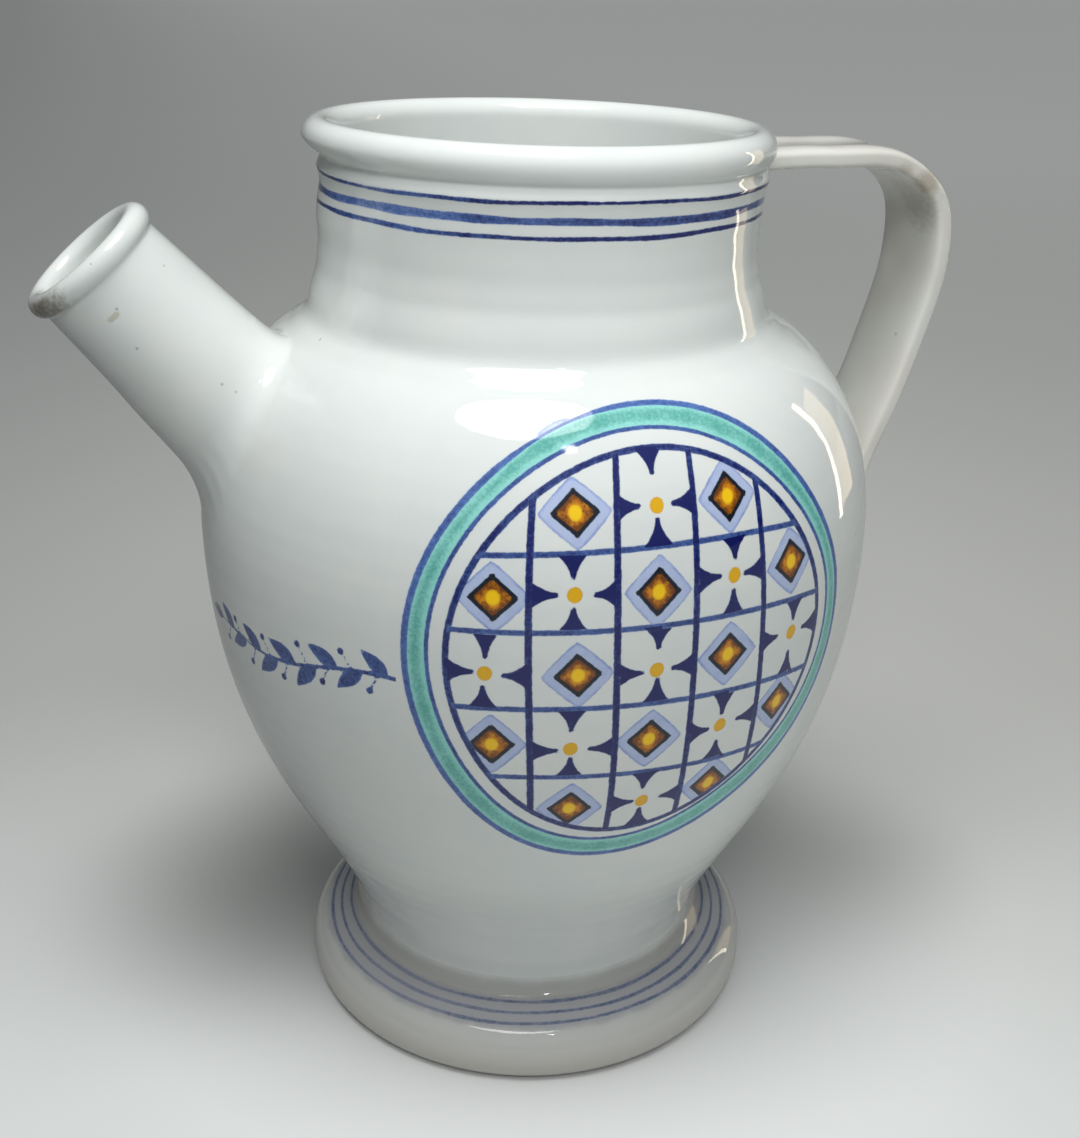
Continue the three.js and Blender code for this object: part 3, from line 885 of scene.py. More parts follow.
# Motifs of the chequer: length and half width of a flower's darts, half diagonals of the wash and of
# the lozenge in it, place and radius of the blobs at its corners, and radii of the yellow dots
DART_LENGTH = 5.3
DART_HALF = 3.2
WASH_HALF = 7.5
LOZENGE_HALF = 4.5
BLOBS_AT = 4.2
BLOB_RADIUS = 0.72
FLOWER_DOT = 1.55
LOZENGE_DOT = 1.45


def drawn_circle(turn, circle):
    """Radius of a circle drawn by hand: its mean radius plus a few waves round it."""
    radius = np.full_like(turn, circle[0])
    for count, (cosine, sine) in enumerate(circle[1:], start=1):
        radius += cosine * np.cos(count * turn) + sine * np.sin(count * turn)
    return radius


def drawn_line(line, away):
    """Place of a line drawn by hand: place, slant, bow and twist times the powers of how far
    along it a point is, in 40 mm."""
    t = away / 40
    return line[0] + line[1] * t + line[2] * t ** 2 + line[3] * t ** 3


def line_count(gaps):
    """A number that is 0 on the first of several lines, 1 on the next and so on, evenly between
    them and a mean spacing apart outside them."""
    count = np.minimum(gaps[0], 0) / LINE_SPACING + np.maximum(gaps[-1], 0) / LINE_SPACING
    for near, far in zip(gaps[:-1], gaps[1:]):
        count = count + np.clip(near / (near - far), 0, 1)
    return count


def by_hand(cell, salt, size):
    """An even scatter over a size, half of it either way, that is always the same for a cell: the
    broken part of a large sine."""
    wave = np.sin(12.99 * cell.row + 78.23 * cell.column + 37.7 * salt)
    return size * ((wave * 4375.85) % 1 - 0.5)


def dart(inwards, sideways, long, wide):
    """Depth inside a dart that points inwards from a line, with hollow sides and a round tip."""
    end = 0.52
    left = np.clip(1 - inwards / long, 0, 1)
    half = end + (wide - end) * left ** 1.9
    steep = 1.9 * (wide - end) * left ** 0.9 / long
    body = np.minimum((half - np.abs(sideways)) / np.hypot(1, steep), inwards + 0.6)
    tip = 0.56 - np.hypot(inwards - long + 0.3, sideways)
    return np.maximum(np.where(inwards < long, body, NOWHERE), tip)


def laid(strokes, depth, load):
    """Lays a stroke over others: the deeper one wins, and brings its load of colour."""
    over = depth > strokes[0]
    return np.where(over, depth, strokes[0]), np.where(over, load, strokes[1])


def cell_side(lines, number, within):
    """Depth inwards from one of the lines beside a cell, or from the circle where it has none."""
    nearest = np.take_along_axis(lines, np.clip(number, 0, 3)[None], axis=0)[0]
    return np.where((number >= 0) & (number <= 3), nearest, within)


def chequer(across, up, uprights, levels, within):
    """The cells of the chequer, from the gaps to its lines: row and column, depth inwards from
    each side, and whether a cell holds a flower or a lozenge. Its corners hold nothing."""
    column = (uprights > 0).sum(axis=0)
    row = (levels < 0).sum(axis=0)
    even = (row + column) % 2 == 0
    corner = (np.abs(row - 2) == 2) & (np.abs(column - 2) == 2)
    shown = within > -0.3
    return SimpleNamespace(
        across=across, up=up, row=row, column=column,
        left=cell_side(uprights, column - 1, within), right=cell_side(-uprights, column, within),
        above=cell_side(-levels, row - 1, within), below=cell_side(levels, row, within),
        flower=even & ~corner & shown, lozenge=~even & shown)


def flower_fields(cell):
    """The four darts that leave a white flower between them, as strokes, and its yellow dot."""
    x = cell.across - np.array(FLOWER_COLUMNS)[cell.column] - by_hand(cell, 1, 0.7)
    y = cell.up - np.array(FLOWER_ROWS)[cell.row] - by_hand(cell, 2, 0.7)
    strokes = (np.full_like(x, NOWHERE), np.ones_like(x))
    for inwards, sideways, salt in ((cell.left, y, 3), (cell.right, y, 4),
                                    (cell.above, x, 5), (cell.below, x, 6)):
        shape = dart(inwards, sideways + by_hand(cell, salt, 0.8),
                     DART_LENGTH + by_hand(cell, salt + 10, 1.2),
                     DART_HALF + by_hand(cell, salt + 20, 0.7))
        strokes = laid(strokes, np.where(cell.flower, shape, NOWHERE), 1.0)
    near = cell.flower & (x ** 2 + y ** 2 < 16)
    return strokes, np.where(near, FLOWER_DOT - np.hypot(x, y * 0.93), NOWHERE)


def lozenge_fields(cell):
    """A lozenge, the pale wash round it, the blobs at its corners and its yellow dot."""
    x = cell.across - np.array(MOTIF_COLUMNS)[cell.column] - by_hand(cell, 7, 0.7)
    y = cell.up - np.array(MOTIF_ROWS)[cell.row] - by_hand(cell, 8, 0.7)
    tilt = by_hand(cell, 9, 0.16)
    x, y = x + tilt * y, y - tilt * x
    lean = 1 + by_hand(cell, 10, 0.10)
    spread = np.abs(x) * lean + np.abs(y) / lean
    soft = (np.abs(x) ** 1.2 + np.abs(y) ** 1.2) ** (1 / 1.2)
    slant = math.sqrt(2)
    blob = np.minimum(np.hypot(np.abs(x) - BLOBS_AT, y), np.hypot(x, np.abs(y) - BLOBS_AT))
    fields = {
        "wash": np.minimum((WASH_HALF - 0.5 * (spread + soft)) / slant, spread / slant - 2.4),
        "lozenge": (LOZENGE_HALF - spread) / slant,
        "blobs": BLOB_RADIUS - blob,
        "yellow": LOZENGE_DOT - np.hypot(x, y * 0.88),
    }
    return {key: np.where(cell.lozenge, depth, NOWHERE) for key, depth in fields.items()}


def roundel_fields(across, up):
    """Depths, in millimetres, of the roundel's strokes and washes at points of its chart. Depth
    is positive inside a stroke and falls off outside it."""
    x = across - ROUNDEL_MIDDLE[0]
    y = up - ROUNDEL_MIDDLE[1]
    turn = np.arctan2(y, x)
    outer, band, inner = (np.hypot(x, y) - drawn_circle(turn, circle)
                          for circle in (OUTER_CIRCLE, BAND_CIRCLE, INNER_CIRCLE))
    lifted = np.exp(-((turn - 1.95) / 0.17) ** 2)
    uprights = np.stack([across - drawn_line(line, y) for line in UPRIGHTS])
    levels = np.stack([up - drawn_line(line, x) for line in LEVELS])
    cell = chequer(across, up, uprights, levels, -inner)
    strokes, dot = flower_fields(cell)
    fields = lozenge_fields(cell)
    slip = 0.75 - np.abs(outer - 0.6) - 3 * (1 - lifted)
    fields.update(
        cobalt=strokes[0], cobalt_load=strokes[1], outer_ring=outer * (1 + 1.3 * lifted),
        band_ring=band, inner_ring=inner, uprights=line_count(uprights),
        levels=line_count(-levels), wash=np.maximum(fields["wash"], slip),
        yellow=np.maximum(dot, fields["yellow"]), ochre=np.where(cell.flower, 1.0, 0.0))
    return fields


# The sprig beside the roundel runs from its first to its last place on the same chart
SPRIG_START = (-52.5, 104.6)
SPRIG_END = (-118, 99.0)
SPRIG_LEAVES = 9


def leaf(x, y, base, direction, long, wide):
    """Depth inside a brushed leaf: a drop that swells from its base and draws out to a point."""
    ahead = (x - base[0]) * math.cos(direction) + (y - base[1]) * math.sin(direction)
    aside = (y - base[1]) * math.cos(direction) - (x - base[0]) * math.sin(direction)
    aside = aside - 0.10 * ahead * (1 - ahead / long)
    t = np.clip(ahead / long, 0, 1)
    half = wide * np.sin(math.pi * t ** 0.75) ** 0.9
    return np.where((ahead > -0.4) & (ahead < long + 0.4), half - np.abs(aside), NOWHERE)


def sprig_fields(across, up):
    """Depth of the brushed sprig: a gently waving stem that tapers to its last leaf, leaves by
    turns on both sides of it, and a berry on a short stalk behind each leaf."""
    start, end = np.array(SPRIG_START), np.array(SPRIG_END)
    long = float(np.linalg.norm(end - start))
    ahead = (end - start) / long
    x = (across - start[0]) * ahead[0] + (up - start[1]) * ahead[1]
    y = (across - start[0]) * ahead[1] - (up - start[1]) * ahead[0]
    wave, sway, lead = 2.6 * math.pi / long, 1.3, 0.5
    stem = sway * np.sin(wave * x + lead)
    half = 0.50 - 0.22 * smoothstep(0, long, x)
    strokes = (np.where((x > 0) & (x < long - 6), half - np.abs(y - stem), NOWHERE),
               np.full_like(x, 0.6))
    tip = (long - 8, sway * math.sin(wave * long))
    strokes = laid(strokes, leaf(x, y, tip, 0.05, 8.5, 1.5), 0.62)
    for number in range(SPRIG_LEAVES):
        place = 2.0 + number * (long - 11) / SPRIG_LEAVES
        sign = 1 if number % 2 == 0 else -1
        base = (place, sway * math.sin(wave * place + lead))
        turn = sway * wave * math.cos(wave * place + lead) + sign * (0.66 - 0.02 * number)
        swell = 1 - 0.35 * abs(number / SPRIG_LEAVES - 0.4)
        strokes = laid(strokes, leaf(x, y, base, turn, 9.4 * swell, 2.0 * swell), 0.5)
        berry = (place + 4.6, base[1] - sign * 4.4 * swell)
        t = np.clip((y - base[1]) / (berry[1] - base[1]), 0, 1)
        stalk = 0.25 - np.abs(x - place - 2.2 - 2.4 * t)
        stalk = np.where((t > 0) & (t < 1), stalk, NOWHERE)
        strokes = laid(strokes, stalk, 0.5)
        strokes = laid(strokes, 0.85 - np.hypot(x - berry[0], y - berry[1]), 0.7)
    return strokes


def belly_paint(wall):
    """The painting on the belly as a function of turns about the axis and lengths along it."""
    waist = along_at(wall.outside, wall.size.waist_height)

    def paint(turn, along):
        radius = np.interp(along, wall.along, wall.radius)
        away = (turn - math.radians(ROUNDEL_TURN) + math.pi) % FULL_TURN - math.pi
        mean = (radius + wall.size.belly_radius) / 2
        across, up = away * mean, along - waist
        fields = roundel_fields(across, up)
        behind = np.where(away < -2.6, away, np.where(away > 2.6, away - FULL_TURN, away))
        strokes = sprig_fields(behind * mean, up)
        fields["cobalt"], fields["cobalt_load"] = laid(
            (fields["cobalt"], fields["cobalt_load"]), *strokes)
        return {key: np.maximum(value, NOWHERE) for key, value in fields.items()}

    return paint


# Lines round the neck and the foot: height, half width and load of colour
NECK_LINES = ((209.0, 0.40, 0.95), (205.4, 0.80, 0.6), (202.3, 0.46, 0.9))
FOOT_LINES = ((14.1, 0.42, -0.1), (15.2, 0.42, -0.1), (16.5, 0.42, -0.1))


def line_paint(wall, lines, wobble):
    """Lines brushed round the jug on the wheel: each is a height, with a slow wobble round it."""
    def paint(turn, along):
        strokes = (np.full_like(turn, NOWHERE), np.zeros_like(turn))
        for number, (middle, half, load) in enumerate(lines):
            away = wobble * (np.sin(3 * turn + 2 * number) + 0.6 * np.sin(7 * turn + number)
                             + 0.4 * np.sin(13 * turn + 5 * number))
            at = along_at(wall.outside, middle)
            width = half * (1 + 0.12 * np.sin(5 * turn + number) + 0.08 * np.sin(17 * turn))
            dry = 0.4 * np.exp(-((turn - 3.75) / 0.4) ** 2)
            strokes = laid(strokes, width - np.abs(along - at - away), load - dry)
        return {"cobalt": strokes[0], "cobalt_load": strokes[1]}

    return paint


# Bends of the strap: share of the way out from the wall and of the way down to the lower root
STRAP_BENDS = ((0.34, 0), (0.737, 0.017), (0.966, 0.111), (1, 0.276), (0.765, 0.532),
               (0.32, 0.74))


def strap_path(wall, handle):
    """The middle of the strap as (distance from the jug's axis, height)."""
    top = wall.size.lip_joint - handle.drop
    reach = wall.size.belly_radius + handle.standoff
    fall = top - handle.root_height
    side = wall.outside
    bends = []
    for out, down in STRAP_BENDS:
        height = top - down * fall
        beside = radius_at(side, height)
        bends.append((beside + out * (reach - beside), height))
    root = radius_at(side, handle.root_height)
    start = [(wall.size.neck_radius - wall.size.wall, top)]
    end = [(root - handle.thickness / 2, handle.root_height),
           (root - 3.5 * handle.thickness, handle.root_height - 1.5 * handle.thickness)]
    return evenly(through(start + bends + end), OUTLINE_STEP)


def swept_piece(node, points, material, visible=None):
    """A closed piece from a grid of points whose rows are its sections, with a vertex in the
    middle of each end. The first visible points of each section get directions of their own."""
    shell = Shell()
    normals = grid_normals(points)
    sign = np.sign((normals * (points - points.mean(axis=1, keepdims=True))).sum())
    if visible:
        normals[:, :visible] = grid_normals(points[:, :visible], round_closed=False)
    numbers = shell.add(points, normals * sign)
    if sign < 0:
        numbers = numbers[:, ::-1]
    shell.grid(numbers)
    middles = points.mean(axis=1)
    start = shell.add(middles[:1], middles[:1] - middles[1:2])
    end = shell.add(middles[-1:], middles[-1:] - middles[-2:-1])
    shell.cap(numbers[0], start[0], above=False)
    shell.cap(numbers[-1], end[0], above=True)
    shell.piece(node, material)


# The strap's ends go this deep into the wall, in millimetres
STRAP_ROOT = 1.8
# The strap's section is squared: cosine and sine are raised to the first of these powers, and in
# the equation of the same curve the place across the strap is raised to the second
SQUARENESS = 0.52
SECTION_POWER = 3.846
# How far the middle of the strap's inner face swells out, in millimetres
CROWN = 0.35


def make_strap(wall, handle, material):
    """The pulled strap: a section with rounded sides, rolled edges and a hollow along its outer
    face, carried along its path and spread a little where it runs into the wall."""
    path = strap_path(wall, handle)
    clear = path[:, 0] - radius_at(wall.outside, path[:, 1])
    shown = np.nonzero(clear > -STRAP_ROOT)[0]
    path = path[shown.min():shown.max() + 1]
    rows = spaced((0.0, 0.8), (lengths(path)[-1], 1))
    middle = at_lengths(path, rows)
    outwards = left_of(middle)

    count = 88
    turn = np.arange(count) * FULL_TURN / count
    across, through_it = (np.sign(wave) * np.abs(wave) ** SQUARENESS
                          for wave in (np.cos(turn), np.sin(turn)))
    half_wide = handle.width / 2
    half_thick = handle.thickness / 2
    outer_face = smoothstep(0.0, 0.5, through_it)
    inner_face = smoothstep(0.0, 0.5, -through_it)
    hollow = handle.groove * np.exp(-(across / 0.42) ** 2) * outer_face
    crown = CROWN * (1 - across ** 2) * inner_face
    away = rows[:, None]
    left = rows[-1] - away
    flare = 1 + 0.10 * np.exp(-(away / 3.5) ** 2) + 0.10 * np.exp(-(left / 16) ** 2)
    wander = 0.25 * np.sin(away / 17 + 0.6) + 0.15 * np.sin(away / 6.1)
    sideways = half_wide * across * (flare - 0.012) + wander * (1 - np.exp(-(away / 9) ** 2))
    tail = 1 - 0.45 * smoothstep(14, 0, left)
    lift = (half_thick * through_it - hollow + crown) * tail
    radial = middle[:, None, :] + lift[..., None] * outwards[:, None, :]
    ahead = np.array([math.cos(handle.turn), math.sin(handle.turn)])
    aside = np.array([-math.sin(handle.turn), math.cos(handle.turn)])
    level = radial[..., :1] * ahead + sideways[..., None] * aside
    swept_piece("handle_strap", np.concatenate([level, radial[..., 1:]], axis=-1), material)
    return SimpleNamespace(path=path, ahead=ahead, aside=aside, outwards=left_of(path))


def make_wad(node, wall, handle, strap, leg, upper, material):
    """A wad of clay smoothed into the corner between the wall and the strap's inner face. At each
    place across the strap it is a quadratic curve from the wall to the strap whose middle corner
    is where the two meet, and it dies away towards the strap's sides."""
    side = wall.outside
    sink, bed = 0.3, 0.5
    inwards = np.array([-0.6, 0])
    blend = np.linspace(0, 1, 11)[:, None]
    sections = []
    for place in np.sin(np.linspace(-0.5, 0.5, 45) * math.pi):
        offset = place * handle.width / 2
        through_it = (1 - min(abs(place), 1.0) ** SECTION_POWER) ** (SQUARENESS / 2)
        lift = -handle.thickness / 2 * through_it + CROWN * (1 - place ** 2)
        face = strap.path + lift * strap.outwards
        out = np.nonzero(face[:, 0] ** 2 > radius_at(side, face[:, 1]) ** 2 - offset ** 2)[0]
        corner = out.min() if upper else out.max()
        reach = leg * math.sqrt(max(1 - place ** 4, 0)) + 0.1
        steps = int(reach / OUTLINE_STEP)
        far = corner + steps if upper else corner - steps
        height = face[corner, 1] + (-reach if upper else reach)
        low = np.array([math.sqrt(radius_at(side, height) ** 2 - offset ** 2) - sink, height])
        middle = face[corner]
        high = face[far] + 0.12 * strap.outwards[far]
        section = np.concatenate([quadratic(low, middle, high, blend), [
            high + bed * strap.outwards[far],
            middle + bed * strap.outwards[corner] + inwards, low + inwards]])
        level = section[:, :1] * strap.ahead + offset * strap.aside
        sections.append(np.concatenate([level, section[:, 1:]], axis=1))
    swept_piece(node, np.stack(sections), material, visible=len(blend))


# Pinholes in the spout's glaze, as places on the jug in millimetres
PINHOLES = ((-84.0, -9.7, 193.2), (-94.2, -15.0, 186.1), (-74.5, -16.3, 169.3),
            (-71.7, -16.3, 167.4), (-91.0, -15.1, 177.7))


# Smears and pits in the handle's glaze: place in millimetres, radius, strength and colour.
# The first is partly a smear and partly painted shade on the inner face under the upper bend
SMEARS_AND_SHADE = (((92.0, -2.0, 198.0), 15, 0.50, (136, 126, 112)),
          ((93.5, -9.0, 204.0), 6, 0.45, (140, 112, 78)),
          ((87.0, -10.5, 206.5), 5, 0.35, (150, 122, 88)),
          ((93.2, -3.0, 166.0), 1.1, 0.5, (120, 112, 100)),
          ((88.5, -2.0, 145.2), 1.6, 0.5, (118, 110, 98)))


class Nodes:
    """Adds shader nodes to a material or the world, where each input is a number, a colour or a
    socket."""

    def __init__(self, owner):
        owner.use_nodes = True
        self.owner = owner
        self.tree = owner.node_tree
        self.noises = {}

    def add(self, kind, *values):
        """A node, with its first inputs set."""
        node = self.tree.nodes.new("ShaderNode" + kind)
        for socket, value in zip(node.inputs, values):
            self.link(socket, value)
        return node

    def link(self, socket, value):
        """Sets an input, or links a socket to it."""
        if isinstance(value, bpy.types.NodeSocket):
            self.tree.links.new(value, socket)
        else:
            socket.default_value = value

    def math(self, operation, *values):
        """A Math node."""
        node = self.add("Math", *values)
        node.operation = operation
        return node.outputs[0]

    def times(self, *values):
        """The product of two values."""
        return self.math("MULTIPLY", *values)

    def mix(self, factor, low, high):
        """A colour between two others."""
        node = self.add("Mix")
        node.data_type = "RGBA"
        self.link(node.inputs[0], factor)
        self.link(node.inputs[6], low)
        self.link(node.inputs[7], high)
        return node.outputs[2]

    def ramp(self, value, low, high, to_low=0.0, to_high=1.0):
        """A smooth S from one value to another."""
        node = self.add("MapRange", value, low, high, to_low, to_high)
        node.interpolation_type = "SMOOTHSTEP"
        return node.outputs[0]

    def band(self, value, rise, fall, most=1.0):
        """A smooth S up over one stretch of a value times a smooth S down over another."""
        return self.times(self.ramp(value, *rise), self.ramp(value, fall[1], fall[0], 0.0, most))

    def field(self, name):
        """A value stored at the piece's vertices."""
        node = self.add("Attribute")
        node.attribute_name = name
        return node.outputs["Fac"]

    def place(self, stretch=(1, 1, 1)):
        """Place on the piece, in metres, stretched for a pattern that runs one way."""
        mapping = self.add("Mapping", self.add("TexCoord").outputs["Object"])
        mapping.inputs["Scale"].default_value = stretch
        return mapping.outputs[0]

    def axes(self, vector):
        """The X, Y and Z of a vector."""
        return self.add("SeparateXYZ", vector).outputs

    def noise(self, size, detail=2.0, roughness=0.5, stretch=(1, 1, 1)):
        """Noise from about -0.5 to 0.5, whose lumps are a size in millimetres. The same noise is
        made once."""
        key = (size, detail, roughness, stretch)
        if key not in self.noises:
            node = self.add("TexNoise", self.place(stretch))
            node.inputs["Scale"].default_value = 1 / (size * MM)
            node.inputs["Detail"].default_value = detail
            node.inputs["Roughness"].default_value = roughness
            self.noises[key] = self.math("SUBTRACT", node.outputs["Fac"], 0.5)
        return self.noises[key]

    def near(self, point, radius):
        """1 at a point of the piece, falling smoothly to 0 at a radius, both in millimetres."""
        node = self.add("VectorMath", self.place(), [value * MM for value in point])
        node.operation = "DISTANCE"
        return self.ramp(node.outputs["Value"], radius * MM, 0.0)

    def total(self, *values):
        """The sum of values, where a pair is a value times a number."""
        terms = [self.times(*value) if isinstance(value, tuple) else value for value in values]
        result = terms[0]
        for term in terms[1:]:
            result = self.math("ADD", result, term)
        return result

    def spots(self, size, radius):
        """Sparse round spots: 1 in the middle, 0 outside. Size is their spacing, both in mm."""
        node = self.add("TexVoronoi", self.place())
        node.inputs["Scale"].default_value = 1 / (size * MM)
        rare = self.add("SeparateColor", node.outputs["Color"]).outputs[0]
        near = self.ramp(node.outputs["Distance"], radius / size, 0.3 * radius / size)
        return self.times(near, self.math("LESS_THAN", rare, 0.30))


def srgb(red, green, blue):
    """A colour as the shaders take it, from the 0 to 255 values that a screen shows."""
    values = np.array([red, green, blue]) / 255
    linear = np.where(values > 0.04045, ((values + 0.055) / 1.055) ** 2.4, values / 12.92)
    return (*linear.tolist(), 1.0)


PALE_COBALT = srgb(88, 120, 186)
# Roughness of the glaze
GLOSS = 0.045


def glaze_ground(name):
    """White tin glaze: faintly cloudy, with sparse pinholes and tan specks. It gives the nodes of
    a new material, the colour and the small relief of the glaze's skin, in metres."""
    nodes = Nodes(bpy.data.materials.new(name))
    tone = nodes.ramp(nodes.total(nodes.noise(26, 3), (nodes.noise(7, 3), 0.5)), -0.3, 0.3)
    colour = nodes.mix(tone, srgb(222, 227, 224), srgb(229, 231, 227))
    pinholes = nodes.spots(11, 0.42)
    colour = nodes.mix(nodes.times(pinholes, 0.45), colour, srgb(120, 112, 98))
    colour = nodes.mix(nodes.times(nodes.spots(27, 0.9), 0.22), colour, srgb(176, 158, 118))
    skin = nodes.total((nodes.noise(9, 1), 0.00006), (nodes.noise(2.2, 2), 0.000006),
                       (pinholes, -0.00008))
    return nodes, colour, skin


def finish_glaze(nodes, colour, relief):
    """Sets a glazed surface from its colour and relief. It gives the material."""
    shader = nodes.tree.nodes["Principled BSDF"]
    nodes.link(shader.inputs["Base Color"], colour)
    bump = nodes.add("Bump")
    bump.inputs["Strength"].default_value = 1.0
    bump.inputs["Distance"].default_value = 1.0
    nodes.link(bump.inputs["Height"], relief)
    nodes.link(shader.inputs["Normal"], bump.outputs[0])
    rough = nodes.ramp(nodes.noise(14, 2), -0.3, 0.3, GLOSS - 0.01, GLOSS + 0.02)
    nodes.link(shader.inputs["Roughness"], rough)
    return nodes.owner


def brushed(nodes, depth, ragged, soft, size=1.1):
    """Where a stroke covers: its depth with a ragged edge, through a smooth S."""
    return nodes.ramp(nodes.total(depth, (nodes.noise(size, 3, 0.6), ragged)), -soft, soft)


def line_along(nodes, name, half):
    """Depth inside a line that runs where a field is 0."""
    return nodes.math("SUBTRACT", half, nodes.math("ABSOLUTE", nodes.field(name)))


def lattice(nodes, name, half, within):
    """Depth inside each of four lines that a field counts from 0 to 3, inside a circle. Half a
    spacing beyond the first and the last of them it falls below 0."""
    count = nodes.field(name)
    gap = nodes.times(nodes.math("PINGPONG", count, 0.5), LINE_SPACING)
    depth = nodes.math("MINIMUM", nodes.math("SUBTRACT", half, gap), within)
    for slope, start in ((9.0, 4.5), (-9.0, 31.5)):
        depth = nodes.math("MINIMUM", depth, nodes.math("MULTIPLY_ADD", count, slope, start))
    return depth


def cobalt_over(nodes, colour, depth, load, ragged=0.4, pale=PALE_COBALT):
    """Lays a cobalt stroke: pale blue where thin, navy where the brush left a full load."""
    cover = brushed(nodes, depth, ragged, 0.13)
    full = nodes.total(load, (nodes.noise(4.5, 2), 0.55), (nodes.noise(0.8, 3, 0.65), 0.95),
                       nodes.ramp(depth, 0.0, 0.9, -0.08, 0.08))
    blue = nodes.mix(nodes.ramp(full, 0.05, 1.0), pale, srgb(17, 25, 95))
    bleed = nodes.times(nodes.ramp(depth, -0.5, 0.1), 0.16)
    colour = nodes.mix(bleed, colour, srgb(150, 170, 215))
    return nodes.mix(nodes.times(cover, nodes.ramp(full, -0.6, 0.35, 0.4, 1.0)), colour, blue)


def plain_glaze():
    """White glaze with nothing painted on it."""
    nodes, colour, relief = glaze_ground("white_tin_glaze")
    return finish_glaze(nodes, colour, relief)


def spout_glaze():
    """White glaze that is worn and stained brown under the spout's mouth, with a tan speck and a
    few pinholes along its side."""
    nodes, colour, relief = glaze_ground("spout_tin_glaze")
    grain = nodes.noise(1.3, 3, 0.7)
    x, _, z = nodes.axes(nodes.place())
    on_bead = nodes.band(nodes.total((x, -0.643), (z, 0.766)), (0.2085, 0.2099),
                         (0.2129, 0.2149))
    stain = nodes.total(nodes.near((-108.4, -9.5, 183.5), 17), (grain, 0.8),
                        (nodes.noise(5, 2), 0.5))
    stain = nodes.times(nodes.ramp(stain, 0.3, 1.05, 0.0, 0.9), on_bead)
    colour = nodes.mix(stain, colour, srgb(104, 92, 76))
    speck = nodes.total(nodes.near((-94.4, -14.9, 185.0), 1.6),
                        nodes.near((-95.5, -14.7, 183.9), 1.5), (grain, 1.2))
    colour = nodes.mix(nodes.ramp(speck, 0.3, 0.9, 0.0, 0.5), colour, srgb(176, 162, 122))
    for point in PINHOLES:
        hole = nodes.times(nodes.near(point, 0.55), 0.6)
        colour = nodes.mix(hole, colour, srgb(112, 106, 98))
    return finish_glaze(nodes, colour, relief)


def handle_glaze():
    """White glaze that is a little thinner and warmer than the body's, with grey smears where
    the strap bends and a few pits along its inner face. The largest smear, on the inner face
    under the upper bend, is partly painted shade."""
    nodes, colour, relief = glaze_ground("handle_tin_glaze")
    colour = nodes.mix(nodes.ramp(nodes.noise(16, 2), -0.25, 0.25, 0.35, 0.65), colour,
                       srgb(216, 207, 196))
    grain = nodes.noise(2.0, 3, 0.65, (1, 1, 2.5))
    # The first patch is partly a smear and partly painted shade on the inner face under the upper
    # bend
    for point, radius, strength, tint in SMEARS_AND_SHADE:
        patch = nodes.total(nodes.near(point, radius), (grain, 0.7))
        colour = nodes.mix(nodes.ramp(patch, 0.15, 0.9, 0.0, strength), colour, srgb(*tint))
    return finish_glaze(nodes, colour, relief)


def lined_glaze():
    """White glaze with brushed lines round it, streaky along their length. It is warm and thin
    over the foot's rolled edge and bare along the table, but plain inside the jug. Painted shade
    greys the foot under the belly, turns the glaze between its lines lavender-grey, darkens the
    hollow above the rolled edge and makes the foot's lines a darker, greyer blue."""
    nodes, colour, relief = glaze_ground("lined_tin_glaze")
    x, y, z = nodes.axes(nodes.place())
    inside = nodes.times(nodes.ramp(nodes.total((x, x), (y, y)), 0.0018, 0.0016),
                         nodes.ramp(z, 0.003, 0.005))
    height = nodes.total(z, (nodes.noise(6, 2), 0.0012), (inside, 0.03))
    # Painted shade on the foot: grey under the belly, lavender-grey between its lines and darker in
    # the hollow above them. The warm tint over the rolled edge and the brown of the bare clay along
    # the table are the foot's own colour.
    tints_and_shade = (
        (nodes.ramp(height, 0.0215, 0.0155, 0.0, 0.85), (200, 198, 193)),
        (nodes.ramp(height, 0.012, 0.005, 0.0, 0.3), (186, 176, 162)),
        (nodes.band(height, (0.0130, 0.0140), (0.0167, 0.0176), 0.9), (176, 174, 178)),
        (nodes.band(height, (0.0150, 0.0182), (0.0186, 0.0224), 0.55), (140, 134, 127)),
        (nodes.ramp(height, 0.0013, 0.0005), (92, 74, 58)),
    )
    for cover, tint in tints_and_shade:
        colour = nodes.mix(cover, colour, srgb(*tint))
    streaks = nodes.noise(2.4, 3, 0.6, (1, 1, 5))
    load = nodes.total(nodes.field("cobalt_load"), (streaks, 0.5))
    depth = nodes.total(nodes.field("cobalt"), (streaks, 0.22))
    # Painted shade: the foot's lines are a darker, greyer blue than the neck's.
    pale = nodes.mix(nodes.ramp(height, 0.05, 0.03), PALE_COBALT, srgb(76, 91, 124))
    return finish_glaze(nodes, cobalt_over(nodes, colour, depth, load, 0.3, pale), relief)


def turquoise_over(nodes, colour, grain, cloud):
    """Lays the turquoise ring between the roundel's two outer circles, paler along its edges."""
    depth = nodes.math("MINIMUM", nodes.math("SUBTRACT", 0.2, nodes.field("outer_ring")),
                       nodes.math("ADD", nodes.field("band_ring"), 0.1))
    thick = nodes.total(nodes.ramp(depth, 0.5, 2.4), (grain, 2.0), (cloud, 1.1))
    green = nodes.mix(nodes.ramp(thick, 0.0, 1.5), srgb(138, 216, 206), srgb(64, 164, 152))
    return nodes.mix(nodes.times(brushed(nodes, depth, 0.3, 0.2), 0.93), colour, green)


def wash_over(nodes, colour, grain, cloud):
    """Lays the thin blue wash round the lozenges, streaky and pooled along its edges."""
    depth = nodes.field("wash")
    pooled = nodes.ramp(nodes.total(depth, (cloud, 0.9), (grain, 0.5)), 0.62, 0.02)
    blue = nodes.mix(pooled, srgb(184, 197, 228), srgb(142, 158, 210))
    streaks = nodes.ramp(nodes.total((nodes.noise(2.6, 2, 0.6), 1.0), (grain, 0.4)), -0.1, 0.3)
    blue = nodes.mix(nodes.times(streaks, 0.5), blue, srgb(160, 176, 220))
    return nodes.mix(brushed(nodes, depth, 0.45, 0.16), colour, blue)


